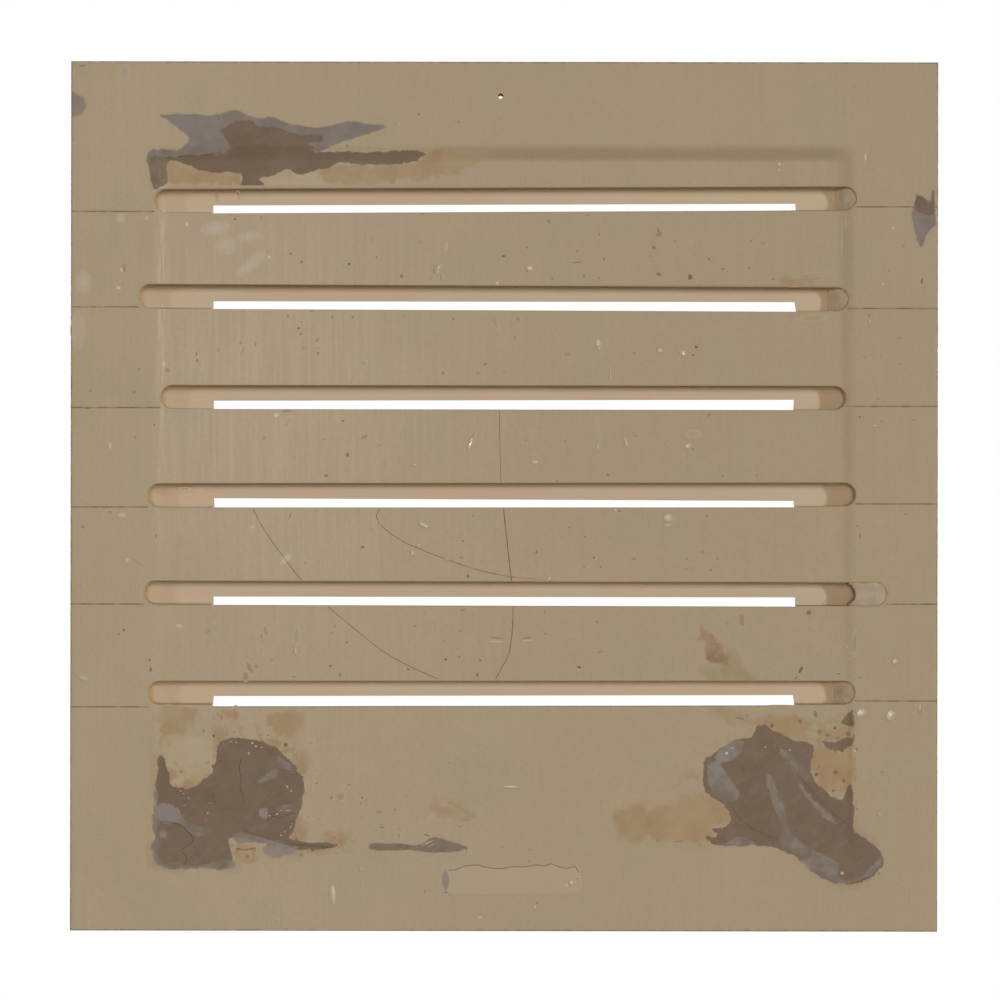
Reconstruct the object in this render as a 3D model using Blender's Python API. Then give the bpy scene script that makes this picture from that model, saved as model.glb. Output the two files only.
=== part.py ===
# Gable louver vent: a slotted face board on a frame of stiles, rails and sloping slats.
# Metres, +Z up. The front faces -Y. The origin is under the middle of the whole vent.

import math

import bmesh
import bpy
from mathutils import Matrix, Vector

# Face board
BOARD_THICKNESS = 0.013
FRAME_REBATE = 0.001            # the frame is let this far into the board's back
BOARD_EDGE_ROUND = 0.0008
FLANGE_WIDTH = 0.0254           # how far the board runs past the frame all round
LOWEST_SLOT_HEIGHT = 0.1195     # from the board's bottom edge up to the bottom slot

# Slots, numbered from the top down
SLOT_COUNT = 6
SLOT_PITCH = 0.052
SLOT_HEIGHT = 0.0122
# A hand-guided cutter made them: how far each one rises, leans (degrees)
# and runs past the frame's opening on its left and right.
SLOT_RISE = (0.0, 0.0003, -0.0003, 0.0003, 0.0004, 0.0)
SLOT_LEAN = (0.27, -0.18, 0.0, 0.14, -0.06, 0.08)
SLOT_REACH_LEFT = (0.0304, 0.0386, 0.0270, 0.0336, 0.0355, 0.0333)
SLOT_REACH_RIGHT = (0.0311, 0.0269, 0.0258, 0.0309, 0.0314, 0.0306)
OVERCUT_SLOT = 5                # cut too long on the right, then closed with filler
OVERCUT_LENGTH = 0.0160

# Shallow sunken field with sloping sides, which runs out towards the bottom
FIELD_DEPTH_TOP = 0.0022
FIELD_DEPTH_BOTTOM = 0.0004
FIELD_FROM_SIDE = 0.0450
FIELD_FROM_TOP = 0.0446
FIELD_FROM_BOTTOM = 0.0438
FIELD_SLOPE_TOP = 0.0074        # widths of the slopes where the field is deepest
FIELD_SLOPE_RIGHT = 0.0074
FIELD_SLOPE_LEFT = 0.0047
FIELD_SLOPE_BOTTOM = 0.0016

# Frame behind the board
OPENING_WIDTH = 0.3084          # between the stiles
STILE_WIDTH = 0.0489
STILE_SPLAY = 0.0025            # how far a stile's inner side falls away to the back
FRAME_DEPTH = 0.028
FRAME_EDGE_ROUND = 0.0008
BOTTOM_RAIL_HEIGHT = 0.0503
HEAD_BACK_HEIGHT = 0.0093       # the top rail's back edge above its bevel
SILL_FALL = 0.005               # the bottom rail's top slopes down to the front
HEAD_CLEARANCE = 0.0019         # between the top slat and the bevel of the top rail

# Slats, numbered from the top down
SLAT_ANGLE = 45.0
SLAT_THICKNESS = 0.007
SLAT_BACK_INSET = 0.002
SLAT_EDGE_ROUND = 0.0003
HOUSING_DEPTH = 0.008           # how far a slat's end is let into a stile
AIR_GAP = 0.004                 # under a slat's front edge, down to the slot's edge
SLAT_RISE = (0.0001, 0.0007, 0.0005, -0.0001, 0.0003, 0.0001)
SLAT_LEAN = (0.25, 0.0, 0.18, -0.19, 0.0, 0.18)

# Screws, driven from behind
SCREW_LENGTH = 0.035
SCREW_DIAMETER = 0.004
SCREW_HEAD_DIAMETER = 0.008
SCREW_HEAD_HEIGHT = 0.0028
SCREW_TIP_LENGTH = 0.005
SCREW_SINK = 0.0003             # head below the frame's back
RECESS_LENGTH = 0.0046
RECESS_WIDTH = 0.0011
RECESS_DEPTH = 0.0018
SIDE_SCREW_WEBS = (2, 4)        # a screw behind the web under each of these slots

# Nail hole in the top flange
NAIL_HOLE_DIAMETER = 0.0026
NAIL_HOLE_FROM_TOP = 0.0182
NAIL_HOLE_OFF_CENTRE = -0.0022

# Filler
FILLER_DEPTH = 0.0034           # beds are this deep below the board's front
SLOT_FILLER_RUN = 0.0095        # how far a slot filler slopes in along the slot
SLOT_FILLER_SINK = 0.0016       # its thick end below the board's front
WEDGE_FILLED_SLOTS = (1, 2, 6)

# Between pieces that touch
SEAT = 0.0003
# Cutters run this far past what they cut
PAST = 0.006

# Fineness of round and curved shapes
ROUND_SIDES = 24
SCREW_SIDES = 16
CURVE_STEPS = 3
EDGE_ANGLE = 40.0               # sharper corners than this are rounded
SHARP_ANGLE = 30.0              # sharper corners than this stay crisp in shading
MERGE = 1e-6

# Patch outlines: distances in from the named edges of the board
TOP_LEFT_PATCH = (
    (0.0483, 0.0285), (0.0650, 0.0276), (0.0880, 0.0276), (0.1068, 0.0296), (0.1273, 0.0345),
    (0.1480, 0.0322), (0.1668, 0.0348), (0.1570, 0.0390), (0.1470, 0.0420), (0.1480, 0.0452),
    (0.1680, 0.0458), (0.1868, 0.0482), (0.1700, 0.0530), (0.1394, 0.0548), (0.1190, 0.0592),
    (0.0960, 0.0592), (0.0683, 0.0569), (0.0536, 0.0520), (0.0590, 0.0475), (0.0620, 0.0416),
    (0.0536, 0.0335),
)
BOTTOM_LEFT_PATCH = (
    (0.0444, 0.0910), (0.0497, 0.0902), (0.0536, 0.0774), (0.0620, 0.0752), (0.0735, 0.0825),
    (0.0775, 0.0920), (0.0812, 0.1004), (0.0978, 0.1006), (0.1105, 0.0955), (0.1202, 0.0848),
    (0.1231, 0.0769), (0.1212, 0.0650), (0.1165, 0.0520), (0.1385, 0.0450), (0.1180, 0.0415),
    (0.0880, 0.0475), (0.0846, 0.0430), (0.0832, 0.0352), (0.0657, 0.0331), (0.0478, 0.0350),
    (0.0434, 0.0405), (0.0436, 0.0520), (0.0438, 0.0720),
)
BOTTOM_RIGHT_PATCH = (
    (0.1217, 0.0904), (0.1159, 0.0962), (0.1022, 0.1010), (0.0948, 0.1075), (0.0856, 0.1040),
    (0.0721, 0.1010), (0.0655, 0.0975), (0.0635, 0.0880), (0.0569, 0.0745), (0.0505, 0.0712),
    (0.0450, 0.0745), (0.0445, 0.0560), (0.0342, 0.0463), (0.0289, 0.0384), (0.0342, 0.0300),
    (0.0463, 0.0250), (0.0569, 0.0288), (0.0674, 0.0373), (0.0795, 0.0436), (0.0948, 0.0457),
    (0.1190, 0.0460), (0.1180, 0.0540), (0.1095, 0.0583), (0.1069, 0.0670), (0.1205, 0.0720),
    (0.1230, 0.0820),
)
RIGHT_EDGE_PATCH = (
    (0.0116, 0.0716), (0.0036, 0.0684), (0.0022, 0.0800), (0.0052, 0.0874), (0.0092, 0.0960),
    (0.0131, 0.0827),
)
BOTTOM_CENTRE_PATCH = (
    (0.1990, 0.0330), (0.2148, 0.0348), (0.2330, 0.0340), (0.2520, 0.0350), (0.2680, 0.0336),
    (0.2686, 0.0216), (0.1990, 0.0208),
)

# Places worked out from the sizes above
WEB_THICKNESS = BOARD_THICKNESS - FRAME_REBATE
TOTAL_DEPTH = WEB_THICKNESS + SEAT + FRAME_DEPTH
FRONT = -TOTAL_DEPTH / 2
BOARD_BACK = FRONT + BOARD_THICKNESS
WEB_BACK = FRONT + WEB_THICKNESS
FRAME_FRONT = WEB_BACK + SEAT
FRAME_BACK = FRAME_FRONT + FRAME_DEPTH
LAP = (FRAME_FRONT + FRAME_BACK) / 2
HALF_OPENING = OPENING_WIDTH / 2
HALF_FRAME = HALF_OPENING + STILE_WIDTH
BOARD_WIDTH = 2 * (HALF_FRAME + FLANGE_WIDTH)
STILE_MIDDLE = HALF_OPENING + STILE_WIDTH / 2
SLAT_SLOPE = math.tan(math.radians(SLAT_ANGLE))
SLAT_EDGE_HEIGHT = SLAT_THICKNESS / math.cos(math.radians(SLAT_ANGLE))
SLAT_RUN = FRAME_DEPTH - SLAT_BACK_INSET


def slot_bottom(number):
    """Height of a slot's lower edge at mid width."""
    return LOWEST_SLOT_HEIGHT + (SLOT_COUNT - number) * SLOT_PITCH + SLOT_RISE[number - 1]


def slat_bottom(number):
    """Height of a slat's lower front edge at mid width."""
    nominal = LOWEST_SLOT_HEIGHT + (SLOT_COUNT - number) * SLOT_PITCH
    return nominal + AIR_GAP + SLAT_RISE[number - 1]


HEAD_BOTTOM = slat_bottom(1) + SLAT_EDGE_HEIGHT + HEAD_CLEARANCE
FRAME_TOP = HEAD_BOTTOM + FRAME_DEPTH * SLAT_SLOPE + HEAD_BACK_HEIGHT
FRAME_BOTTOM = FLANGE_WIDTH
SILL_TOP = FRAME_BOTTOM + BOTTOM_RAIL_HEIGHT
BOARD_HEIGHT = FRAME_TOP + FLANGE_WIDTH


def clear_scene():
    for item in list(bpy.data.objects):
        bpy.data.objects.remove(item, do_unlink=True)


def finish(name, colour, roughness, metallic=0.0):
    """A material with the colour, gloss and metal of one piece."""
    material = bpy.data.materials.new(name)
    material.use_nodes = True
    shader = material.node_tree.nodes["Principled BSDF"]
    shader.inputs["Base Color"].default_value = (*colour, 1.0)
    shader.inputs["Roughness"].default_value = roughness
    shader.inputs["Metallic"].default_value = metallic
    material.diffuse_color = (*colour, 1.0)
    return material


def add_object(name, bm, material=None):
    """Closes a bmesh into a new object whose faces point out."""
    bmesh.ops.recalc_face_normals(bm, faces=bm.faces)
    mesh = bpy.data.meshes.new(name)
    bm.to_mesh(mesh)
    bm.free()
    item = bpy.data.objects.new(name, mesh)
    bpy.context.scene.collection.objects.link(item)
    if material:
        mesh.materials.append(material)
    return item


def as_guide(item):
    item.hide_render = True
    item.display_type = "WIRE"
    return item


def prism(outline, y_from, y_to):
    """An outline in x and z, drawn from one depth to another."""
    bm = bmesh.new()
    face = bm.faces.new([bm.verts.new((x, y_from, z)) for x, z in outline])
    moved = bmesh.ops.extrude_face_region(bm, geom=[face])["geom"]
    verts = [part for part in moved if isinstance(part, bmesh.types.BMVert)]
    bmesh.ops.translate(bm, verts=verts, vec=(0, y_to - y_from, 0))
    return bm


def side_prism(section, x_from, x_to):
    """A section in y and z, drawn along x."""
    bm = bmesh.new()
    face = bm.faces.new([bm.verts.new((x_from, y, z)) for y, z in section])
    moved = bmesh.ops.extrude_face_region(bm, geom=[face])["geom"]
    verts = [part for part in moved if isinstance(part, bmesh.types.BMVert)]
    bmesh.ops.translate(bm, verts=verts, vec=(x_to - x_from, 0, 0))
    return bm


def bar(x_from, x_to, y_from, y_to, z_from, z_to):
    return prism(((x_from, z_from), (x_to, z_from), (x_to, z_to), (x_from, z_to)), y_from, y_to)


def turned(profile, sides):
    """A closed solid turned about the Y axis from (radius, y) points that start and end on it."""
    bm = bmesh.new()
    verts = [bm.verts.new((radius, y, 0)) for radius, y in profile]
    edges = [bm.edges.new(pair) for pair in zip(verts, verts[1:])]
    bmesh.ops.spin(bm, geom=verts + edges, cent=(0, 0, 0), axis=(0, 1, 0),
                   angle=2 * math.pi, steps=sides, use_merge=True)
    bmesh.ops.remove_doubles(bm, verts=bm.verts, dist=MERGE)
    return bm


def lean(bm, degrees, height):
    """Tips a shape a little in the plane of the board, about mid width at one height."""
    turn = Matrix.Rotation(math.radians(-degrees), 4, "Y")
    bmesh.ops.rotate(bm, verts=bm.verts, cent=(0, 0, height), matrix=turn)
    return bm


def soften(item, width, segments=2):
    """Rounds the arrises of a bar or a board."""
    bevel = item.modifiers.new("edge_round", "BEVEL")
    bevel.width = width
    bevel.segments = segments
    bevel.limit_method = "ANGLE"
    bevel.angle_limit = math.radians(EDGE_ANGLE)


def combine(item, other, operation="DIFFERENCE"):
    boolean = item.modifiers.new(other.name, "BOOLEAN")
    boolean.operation = operation
    boolean.solver = "EXACT"
    boolean.object = other


def cut(item, name, bm):
    combine(item, as_guide(add_object(name, bm)))


def shade_round(item):
    item.data.shade_smooth()
    item.data.set_sharp_from_angle(angle=math.radians(SHARP_ANGLE))


def slot_outline(number, grow=0.0, overcut=0.0):
    """A long hole with half-round ends."""
    radius = SLOT_HEIGHT / 2 + grow
    middle = slot_bottom(number) + SLOT_HEIGHT / 2
    left = -HALF_OPENING - SLOT_REACH_LEFT[number - 1] + SLOT_HEIGHT / 2
    right = HALF_OPENING + SLOT_REACH_RIGHT[number - 1] + overcut - SLOT_HEIGHT / 2
    points = []
    for centre, start in ((right, -math.pi / 2), (left, math.pi / 2)):
        for step in range(ROUND_SIDES // 2 + 1):
            angle = start + 2 * math.pi * step / ROUND_SIDES
            points.append((centre + radius * math.cos(angle), middle + radius * math.sin(angle)))
    return points


def slot_prism(number, y_from, y_to, grow=0.0, overcut=0.0):
    bm = prism(slot_outline(number, grow, overcut), y_from, y_to)
    return lean(bm, SLOT_LEAN[number - 1], slot_bottom(number) + SLOT_HEIGHT / 2)


def overcut_of(number):
    return OVERCUT_LENGTH if number == OVERCUT_SLOT else 0.0


def patch_outline(points, from_right, from_top, grow=0.0):
    """A smooth closed outline through points given from two edges of the board."""
    half = BOARD_WIDTH / 2
    placed = []
    for across, along in points:
        x = half - across if from_right else across - half
        z = BOARD_HEIGHT - along if from_top else along
        placed.append(Vector((x, z)))
    count = len(placed)
    smooth = []
    for index in range(count):
        before, start, end, after = (placed[(index + step) % count] for step in (-1, 0, 1, 2))
        for step in range(CURVE_STEPS):
            t = step / CURVE_STEPS
            lead = (2 * before - 5 * start + 4 * end - after) * t * t
            tail = (3 * start - before - 3 * end + after) * t * t * t
            smooth.append((2 * start + (end - before) * t + lead + tail) / 2)
    area = sum(a.x * b.y - b.x * a.y for a, b in zip(smooth, smooth[1:] + smooth[:1]))
    side = 1.0 if area > 0 else -1.0
    grown = []
    for index, point in enumerate(smooth):
        along = (smooth[(index + 1) % len(smooth)] - smooth[index - 1]).normalized()
        grown.append(point + Vector((along.y, -along.x)) * side * grow)
    return [(point.x, point.y) for point in grown]


def board_blank_shape():
    half = BOARD_WIDTH / 2
    return bar(-half, half, FRONT, BOARD_BACK, 0.0, BOARD_HEIGHT)


def field_cutter():
    """A shallow tray shape that is deepest at the top and opens out past the board's front."""
    left = FIELD_FROM_SIDE - BOARD_WIDTH / 2
    right = BOARD_WIDTH / 2 - FIELD_FROM_SIDE
    top = BOARD_HEIGHT - FIELD_FROM_TOP
    bottom = FIELD_FROM_BOTTOM
    run_left = FIELD_SLOPE_LEFT / FIELD_DEPTH_TOP
    run_right = FIELD_SLOPE_RIGHT / FIELD_DEPTH_TOP
    z_top = FIELD_SLOPE_TOP / FIELD_DEPTH_TOP
    z_bottom = FIELD_SLOPE_BOTTOM / FIELD_DEPTH_BOTTOM
    bm = bmesh.new()
    rings = []
    for low, high in ((FIELD_DEPTH_BOTTOM, FIELD_DEPTH_TOP), (-PAST, -PAST)):
        corners = ((left, run_left, low), (right, -run_right, low),
                   (right, -run_right, high), (left, run_left, high))
        heights = (bottom + z_bottom * low, bottom + z_bottom * low,
                   top - z_top * high, top - z_top * high)
        rings.append([bm.verts.new((x + run * depth, FRONT + depth, z))
                      for (x, run, depth), z in zip(corners, heights)])
    for index in range(4):
        after = (index + 1) % 4
        bm.faces.new((rings[0][index], rings[0][after], rings[1][after], rings[1][index]))
    bm.faces.new(rings[0])
    bm.faces.new(rings[1])
    return bm


def screw_profile(grow=0.0, past=0.0):
    """Half outline of a countersunk screw along y, head towards the frame's back."""
    back = FRAME_BACK - SCREW_SINK
    tip = back - SCREW_LENGTH
    head = SCREW_HEAD_DIAMETER / 2 + grow
    shank = SCREW_DIAMETER / 2 + grow
    profile = [(0.0, tip - grow), (shank, tip + SCREW_TIP_LENGTH - grow)]
    profile += [(shank, back - SCREW_HEAD_HEIGHT), (head, back), (head, back + past), (0.0, back + past)]
    return profile if past else [point for index, point in enumerate(profile) if index != 4]


def screw_places():
    """Screw numbers with their x and z: four corners, then the sides between slots."""
    upper = (HEAD_BOTTOM + FRAME_TOP) / 2
    lower = (FRAME_BOTTOM + SILL_TOP) / 2
    web = SLOT_PITCH - SLOT_HEIGHT
    heights = [upper] + [slot_bottom(number) - web / 2 for number in SIDE_SCREW_WEBS] + [lower]
    return [(side * STILE_MIDDLE, height) for height in heights for side in (-1, 1)]


def screw_hole(x, z):
    bm = turned(screw_profile(SEAT, PAST), SCREW_SIDES)
    bmesh.ops.translate(bm, verts=bm.verts, vec=(x, 0, z))
    return bm


def slat_section(grow=0.0):
    """Section of a slat in y and z from its lower front edge, sloping up to the back."""
    run = SLAT_RUN + (PAST + SLAT_BACK_INSET if grow else 0.0)
    front = FRAME_FRONT - (PAST if grow else 0.0)
    lead = FRAME_FRONT - front
    rise = grow / math.cos(math.radians(SLAT_ANGLE))
    low_front = -lead * SLAT_SLOPE - rise
    high_front = SLAT_EDGE_HEIGHT - lead * SLAT_SLOPE + rise
    low_back = run * SLAT_SLOPE - rise
    high_back = SLAT_EDGE_HEIGHT + run * SLAT_SLOPE + rise
    back = FRAME_FRONT + run
    return ((front, low_front), (back, low_back), (back, high_back), (front, high_front))


def slat_shape(number, grow=0.0):
    half = HALF_OPENING + HOUSING_DEPTH - (0.0 if grow else SEAT)
    base = slat_bottom(number)
    section = [(y, base + z) for y, z in slat_section(grow)]
    return lean(side_prism(section, -half, half), SLAT_LEAN[number - 1], base)


def build_face_board(material, patches):
    board = add_object("face_board", board_blank_shape(), material)
    soften(board, BOARD_EDGE_ROUND)
    cut(board, "field_cutter", field_cutter())
    reach = HALF_FRAME + SEAT
    rebate = bar(-reach, reach, WEB_BACK, BOARD_BACK + PAST, FRAME_BOTTOM - SEAT, FRAME_TOP + SEAT)
    cut(board, "frame_rebate", rebate)
    for number in range(1, SLOT_COUNT + 1):
        slot = slot_prism(number, FRONT - PAST, BOARD_BACK + PAST, overcut=overcut_of(number))
        cut(board, f"slot_cutter_{number}", slot)
    for name, points, from_right, from_top, _ in patches:
        outline = patch_outline(points, from_right, from_top, SEAT)
        cut(board, name + "_bed", prism(outline, FRONT - PAST, FRONT + FILLER_DEPTH + SEAT))
    for index, (x, z) in enumerate(screw_places()):
        cut(board, f"board_hole_{index + 1}", screw_hole(x, z))
    before = FRONT - PAST
    radius = NAIL_HOLE_DIAMETER / 2
    past = BOARD_BACK + PAST
    nail = turned([(0.0, before), (radius, before), (radius, past), (0.0, past)], SCREW_SIDES)
    height = BOARD_HEIGHT - NAIL_HOLE_FROM_TOP
    bmesh.ops.translate(nail, verts=nail.verts, vec=(NAIL_HOLE_OFF_CENTRE, 0, height))
    cut(board, "nail_hole", nail)
    return board


def build_patches(patches):
    """Each patch of filler follows the board's own surface, so it lies flush everywhere."""
    blank = as_guide(add_object("board_blank", board_blank_shape()))
    soften(blank, BOARD_EDGE_ROUND)
    combine(blank, bpy.data.objects["field_cutter"])
    for name, points, from_right, from_top, material in patches:
        outline = patch_outline(points, from_right, from_top)
        patch = add_object(name, prism(outline, FRONT - PAST, FRONT + FILLER_DEPTH), material)
        combine(patch, blank, "INTERSECT")


def build_wedge_filler(number, material):
    """Filler that slopes from the right end of a slot down to the stile behind."""
    bm = slot_prism(number, FRONT + SLOT_FILLER_SINK, WEB_BACK, grow=-SEAT)
    end = HALF_OPENING + SLOT_REACH_RIGHT[number - 1]
    thick = WEB_THICKNESS - SLOT_FILLER_SINK
    direction = Vector((-thick, -SLOT_FILLER_RUN, 0)).normalized()
    geometry = bm.verts[:] + bm.edges[:] + bm.faces[:]
    bmesh.ops.bisect_plane(bm, geom=geometry, plane_co=(end - SLOT_FILLER_RUN, WEB_BACK, 0),
                           plane_no=direction, clear_outer=True)
    bmesh.ops.holes_fill(bm, edges=[edge for edge in bm.edges if edge.is_boundary])
    add_object(f"slot_filler_{number}", bm, material)


def build_overcut_filler(number, material):
    """Filler that closes the stretch cut too long, with the slot's round end cut into it."""
    bm = slot_prism(number, FRONT, WEB_BACK, grow=-SEAT, overcut=OVERCUT_LENGTH)
    start = HALF_OPENING + SLOT_REACH_RIGHT[number - 1] - SLOT_HEIGHT / 2
    geometry = bm.verts[:] + bm.edges[:] + bm.faces[:]
    bmesh.ops.bisect_plane(bm, geom=geometry, plane_co=(start, 0, 0), plane_no=(-1, 0, 0),
                           clear_outer=True)
    bmesh.ops.holes_fill(bm, edges=[edge for edge in bm.edges if edge.is_boundary])
    plug = add_object(f"slot_filler_{number}", bm, material)
    cut(plug, "visible_slot_end", slot_prism(number, FRONT - PAST, BOARD_BACK + PAST))


def stile_splay(side):
    """A wedge along a stile's inner side: from the front only the stile's front edge shows."""
    inner = side * HALF_OPENING
    low, high = sorted((inner, inner - side * PAST))
    bm = bar(low, high, FRAME_FRONT - PAST, FRAME_BACK + PAST, SILL_TOP + PAST, HEAD_BOTTOM - PAST)
    turn = Matrix.Rotation(-side * math.atan(STILE_SPLAY / FRAME_DEPTH), 3, "Z")
    bmesh.ops.rotate(bm, verts=bm.verts, cent=(inner, FRAME_FRONT, 0), matrix=turn)
    return bm


def build_stile(name, side, material):
    inner, outer = sorted((side * HALF_OPENING, side * HALF_FRAME))
    shape = bar(inner, outer, FRAME_FRONT, FRAME_BACK, FRAME_BOTTOM, FRAME_TOP)
    stile = add_object(name, shape, material)
    soften(stile, FRAME_EDGE_ROUND)
    cut(stile, name + "_splay", stile_splay(side))
    laps = ((FRAME_BOTTOM - PAST, SILL_TOP + SEAT), (HEAD_BOTTOM - SEAT, FRAME_TOP + PAST))
    for index, (low, high) in enumerate(laps):
        lap = bar(inner - PAST, outer + PAST, LAP - SEAT / 2, FRAME_BACK + PAST, low, high)
        cut(stile, f"{name}_lap_{index + 1}", lap)
    for number in range(1, SLOT_COUNT + 1):
        combine(stile, bpy.data.objects[f"housing_{number}"])
    for index, (x, z) in enumerate(screw_places()):
        if x * side > 0:
            cut(stile, f"{name}_hole_{index + 1}", screw_hole(x, z))


def build_rail(name, low, high, material, relief, slat_number):
    """A rail whose ends lap behind the stiles, with its inner edge shaped between them."""
    shape = bar(-HALF_FRAME, HALF_FRAME, FRAME_FRONT, FRAME_BACK, low, high)
    rail = add_object(name, shape, material)
    soften(rail, FRAME_EDGE_ROUND)
    for side in (-1, 1):
        inner, outer = sorted((side * (HALF_OPENING - SEAT), side * (HALF_FRAME + PAST)))
        lap = bar(inner, outer, FRAME_FRONT - PAST, LAP + SEAT / 2, low - PAST, high + PAST)
        cut(rail, f"{name}_lap_{side}", lap)
    cut(rail, name + "_relief", side_prism(relief, -HALF_OPENING, HALF_OPENING))
    combine(rail, bpy.data.objects[f"housing_{slat_number}"])
    for index, (x, z) in enumerate(screw_places()):
        if low < z < high:
            cut(rail, f"{name}_hole_{index + 1}", screw_hole(x, z))


def build_rails(material):
    front = FRAME_FRONT - PAST
    back = FRAME_BACK + PAST
    lead = PAST * SLAT_SLOPE
    rise = (FRAME_DEPTH + PAST) * SLAT_SLOPE
    head = ((front, HEAD_BOTTOM - lead), (front, HEAD_BOTTOM - rise),
            (back, HEAD_BOTTOM - rise), (back, HEAD_BOTTOM + rise))
    build_rail("top_rail", HEAD_BOTTOM, FRAME_TOP, material, head, 1)
    fall = SILL_FALL / FRAME_DEPTH
    sill = ((front, SILL_TOP - SILL_FALL - PAST * fall), (back, SILL_TOP + PAST * fall),
            (back, SILL_TOP + PAST), (front, SILL_TOP + PAST))
    build_rail("bottom_rail", FRAME_BOTTOM, SILL_TOP, material, sill, SLOT_COUNT)


def build_slats(material):
    for number in range(1, SLOT_COUNT + 1):
        as_guide(add_object(f"housing_{number}", slat_shape(number, SEAT)))
        slat = add_object(f"louver_slat_{number}", slat_shape(number), material)
        soften(slat, SLAT_EDGE_ROUND, 1)


def build_screws(material):
    """Countersunk screws with a cross recess, all with one mesh."""
    bm = turned(screw_profile(), SCREW_SIDES)
    first = None
    floor = FRAME_BACK - SCREW_SINK - RECESS_DEPTH
    arm = RECESS_LENGTH / 2
    half = RECESS_WIDTH / 2
    cross = ((arm, -half), (arm, half), (half, half), (half, arm), (-half, arm), (-half, half),
             (-arm, half), (-arm, -half), (-half, -half), (-half, -arm), (half, -arm), (half, -half))
    recess = as_guide(add_object("cross_recess", prism(cross, floor, FRAME_BACK + PAST)))
    for index, (x, z) in enumerate(screw_places()):
        name = f"frame_screw_{index + 1}"
        if first is None:
            screw = add_object(name, bm, material)
            shade_round(screw)
            first = screw
        else:
            screw = bpy.data.objects.new(name, first.data)
            bpy.context.scene.collection.objects.link(screw)
        screw.location = (x, 0, z)
        bit = as_guide(bpy.data.objects.new(name + "_recess", recess.data))
        bpy.context.scene.collection.objects.link(bit)
        bit.location = (x, 0, z)
        combine(screw, bit)


def main():
    clear_scene()
    face_paint = finish("face_paint", (0.37, 0.29, 0.20), 0.45)
    frame_paint = finish("frame_paint", (0.42, 0.34, 0.24), 0.5)
    brown_filler = finish("brown_filler", (0.17, 0.12, 0.085), 0.55)
    grey_filler = finish("grey_filler", (0.20, 0.17, 0.14), 0.6)
    pale_filler = finish("pale_filler", (0.38, 0.30, 0.22), 0.55)
    zinc = finish("zinc_screw", (0.55, 0.53, 0.48), 0.35, 1.0)
    patches = (
        ("filler_top_left", TOP_LEFT_PATCH, False, True, brown_filler),
        ("filler_bottom_left", BOTTOM_LEFT_PATCH, False, False, brown_filler),
        ("filler_bottom_right", BOTTOM_RIGHT_PATCH, True, False, brown_filler),
        ("filler_right_edge", RIGHT_EDGE_PATCH, True, True, grey_filler),
        ("filler_bottom_centre", BOTTOM_CENTRE_PATCH, False, False, pale_filler),
    )
    build_face_board(face_paint, patches)
    build_patches(patches)
    for number in WEDGE_FILLED_SLOTS:
        build_wedge_filler(number, grey_filler)
    build_overcut_filler(OVERCUT_SLOT, pale_filler)
    build_slats(frame_paint)
    build_stile("left_stile", -1, frame_paint)
    build_stile("right_stile", 1, frame_paint)
    build_rails(frame_paint)
    build_screws(zinc)


main()
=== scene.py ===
import math

import bmesh
import bpy
import numpy as np
from mathutils import Matrix, Vector, noise


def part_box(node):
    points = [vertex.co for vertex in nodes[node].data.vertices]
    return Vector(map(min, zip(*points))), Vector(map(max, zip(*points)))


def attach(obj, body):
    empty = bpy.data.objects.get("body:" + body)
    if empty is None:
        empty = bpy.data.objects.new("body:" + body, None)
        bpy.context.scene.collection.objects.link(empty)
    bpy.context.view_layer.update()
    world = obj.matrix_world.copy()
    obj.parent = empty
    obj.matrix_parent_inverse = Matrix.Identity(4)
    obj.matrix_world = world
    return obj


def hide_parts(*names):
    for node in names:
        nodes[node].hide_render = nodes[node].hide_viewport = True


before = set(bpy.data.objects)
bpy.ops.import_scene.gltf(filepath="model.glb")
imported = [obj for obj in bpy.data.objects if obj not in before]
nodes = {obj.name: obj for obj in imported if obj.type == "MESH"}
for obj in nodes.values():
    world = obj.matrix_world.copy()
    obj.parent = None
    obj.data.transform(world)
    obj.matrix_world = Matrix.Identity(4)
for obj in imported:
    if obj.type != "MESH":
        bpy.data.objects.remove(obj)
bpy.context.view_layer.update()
mm = 0.001
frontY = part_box("face_board")[0].y      # front of the board, metres
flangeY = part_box("face_board")[1].y     # back of its margin
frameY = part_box("left_stile")[0].y      # front of the frame behind
seat = 0.3 * mm
webY = frameY - seat                    # back of the board where the frame sits
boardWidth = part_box("face_board")[1].x * 2
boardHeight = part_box("face_board")[1].z
rideBody = "root"
farOut = -30.0                          # "well outside", for distances in millimetres


# small tools

def addObject(name, bm, material, sharp=35.0):
    mesh = bpy.data.meshes.new(name)
    bm.to_mesh(mesh)
    bm.free()
    mesh.shade_smooth()
    mesh.set_sharp_from_angle(angle=math.radians(sharp))
    if material:
        mesh.materials.append(material)
    return linkObject(name, mesh)


def linkObject(name, data):
    item = bpy.data.objects.new(name, data)
    bpy.context.scene.collection.objects.link(item)
    return item


def applyModifiers(piece, sharp=35.0):
    graph = bpy.context.evaluated_depsgraph_get()
    mesh = bpy.data.meshes.new_from_object(piece.evaluated_get(graph))
    old = piece.data
    piece.modifiers.clear()
    piece.data = mesh
    bpy.data.meshes.remove(old)
    mesh.shade_smooth()
    mesh.set_sharp_from_angle(angle=math.radians(sharp))


def boolean(piece, bm, operation):
    # closes the cutter's normals, uses it once and throws it away
    bmesh.ops.recalc_face_normals(bm, faces=bm.faces)
    cutter = addObject("cutter", bm, None)
    step = piece.modifiers.new("cut", "BOOLEAN")
    step.operation = operation
    step.solver = "EXACT"
    step.object = cutter
    applyModifiers(piece)
    bpy.data.objects.remove(cutter)


def readPoints(piece):
    flat = np.empty(len(piece.data.vertices) * 3, np.float32)
    piece.data.vertices.foreach_get("co", flat)
    return flat.reshape(-1, 3).astype(float)


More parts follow.
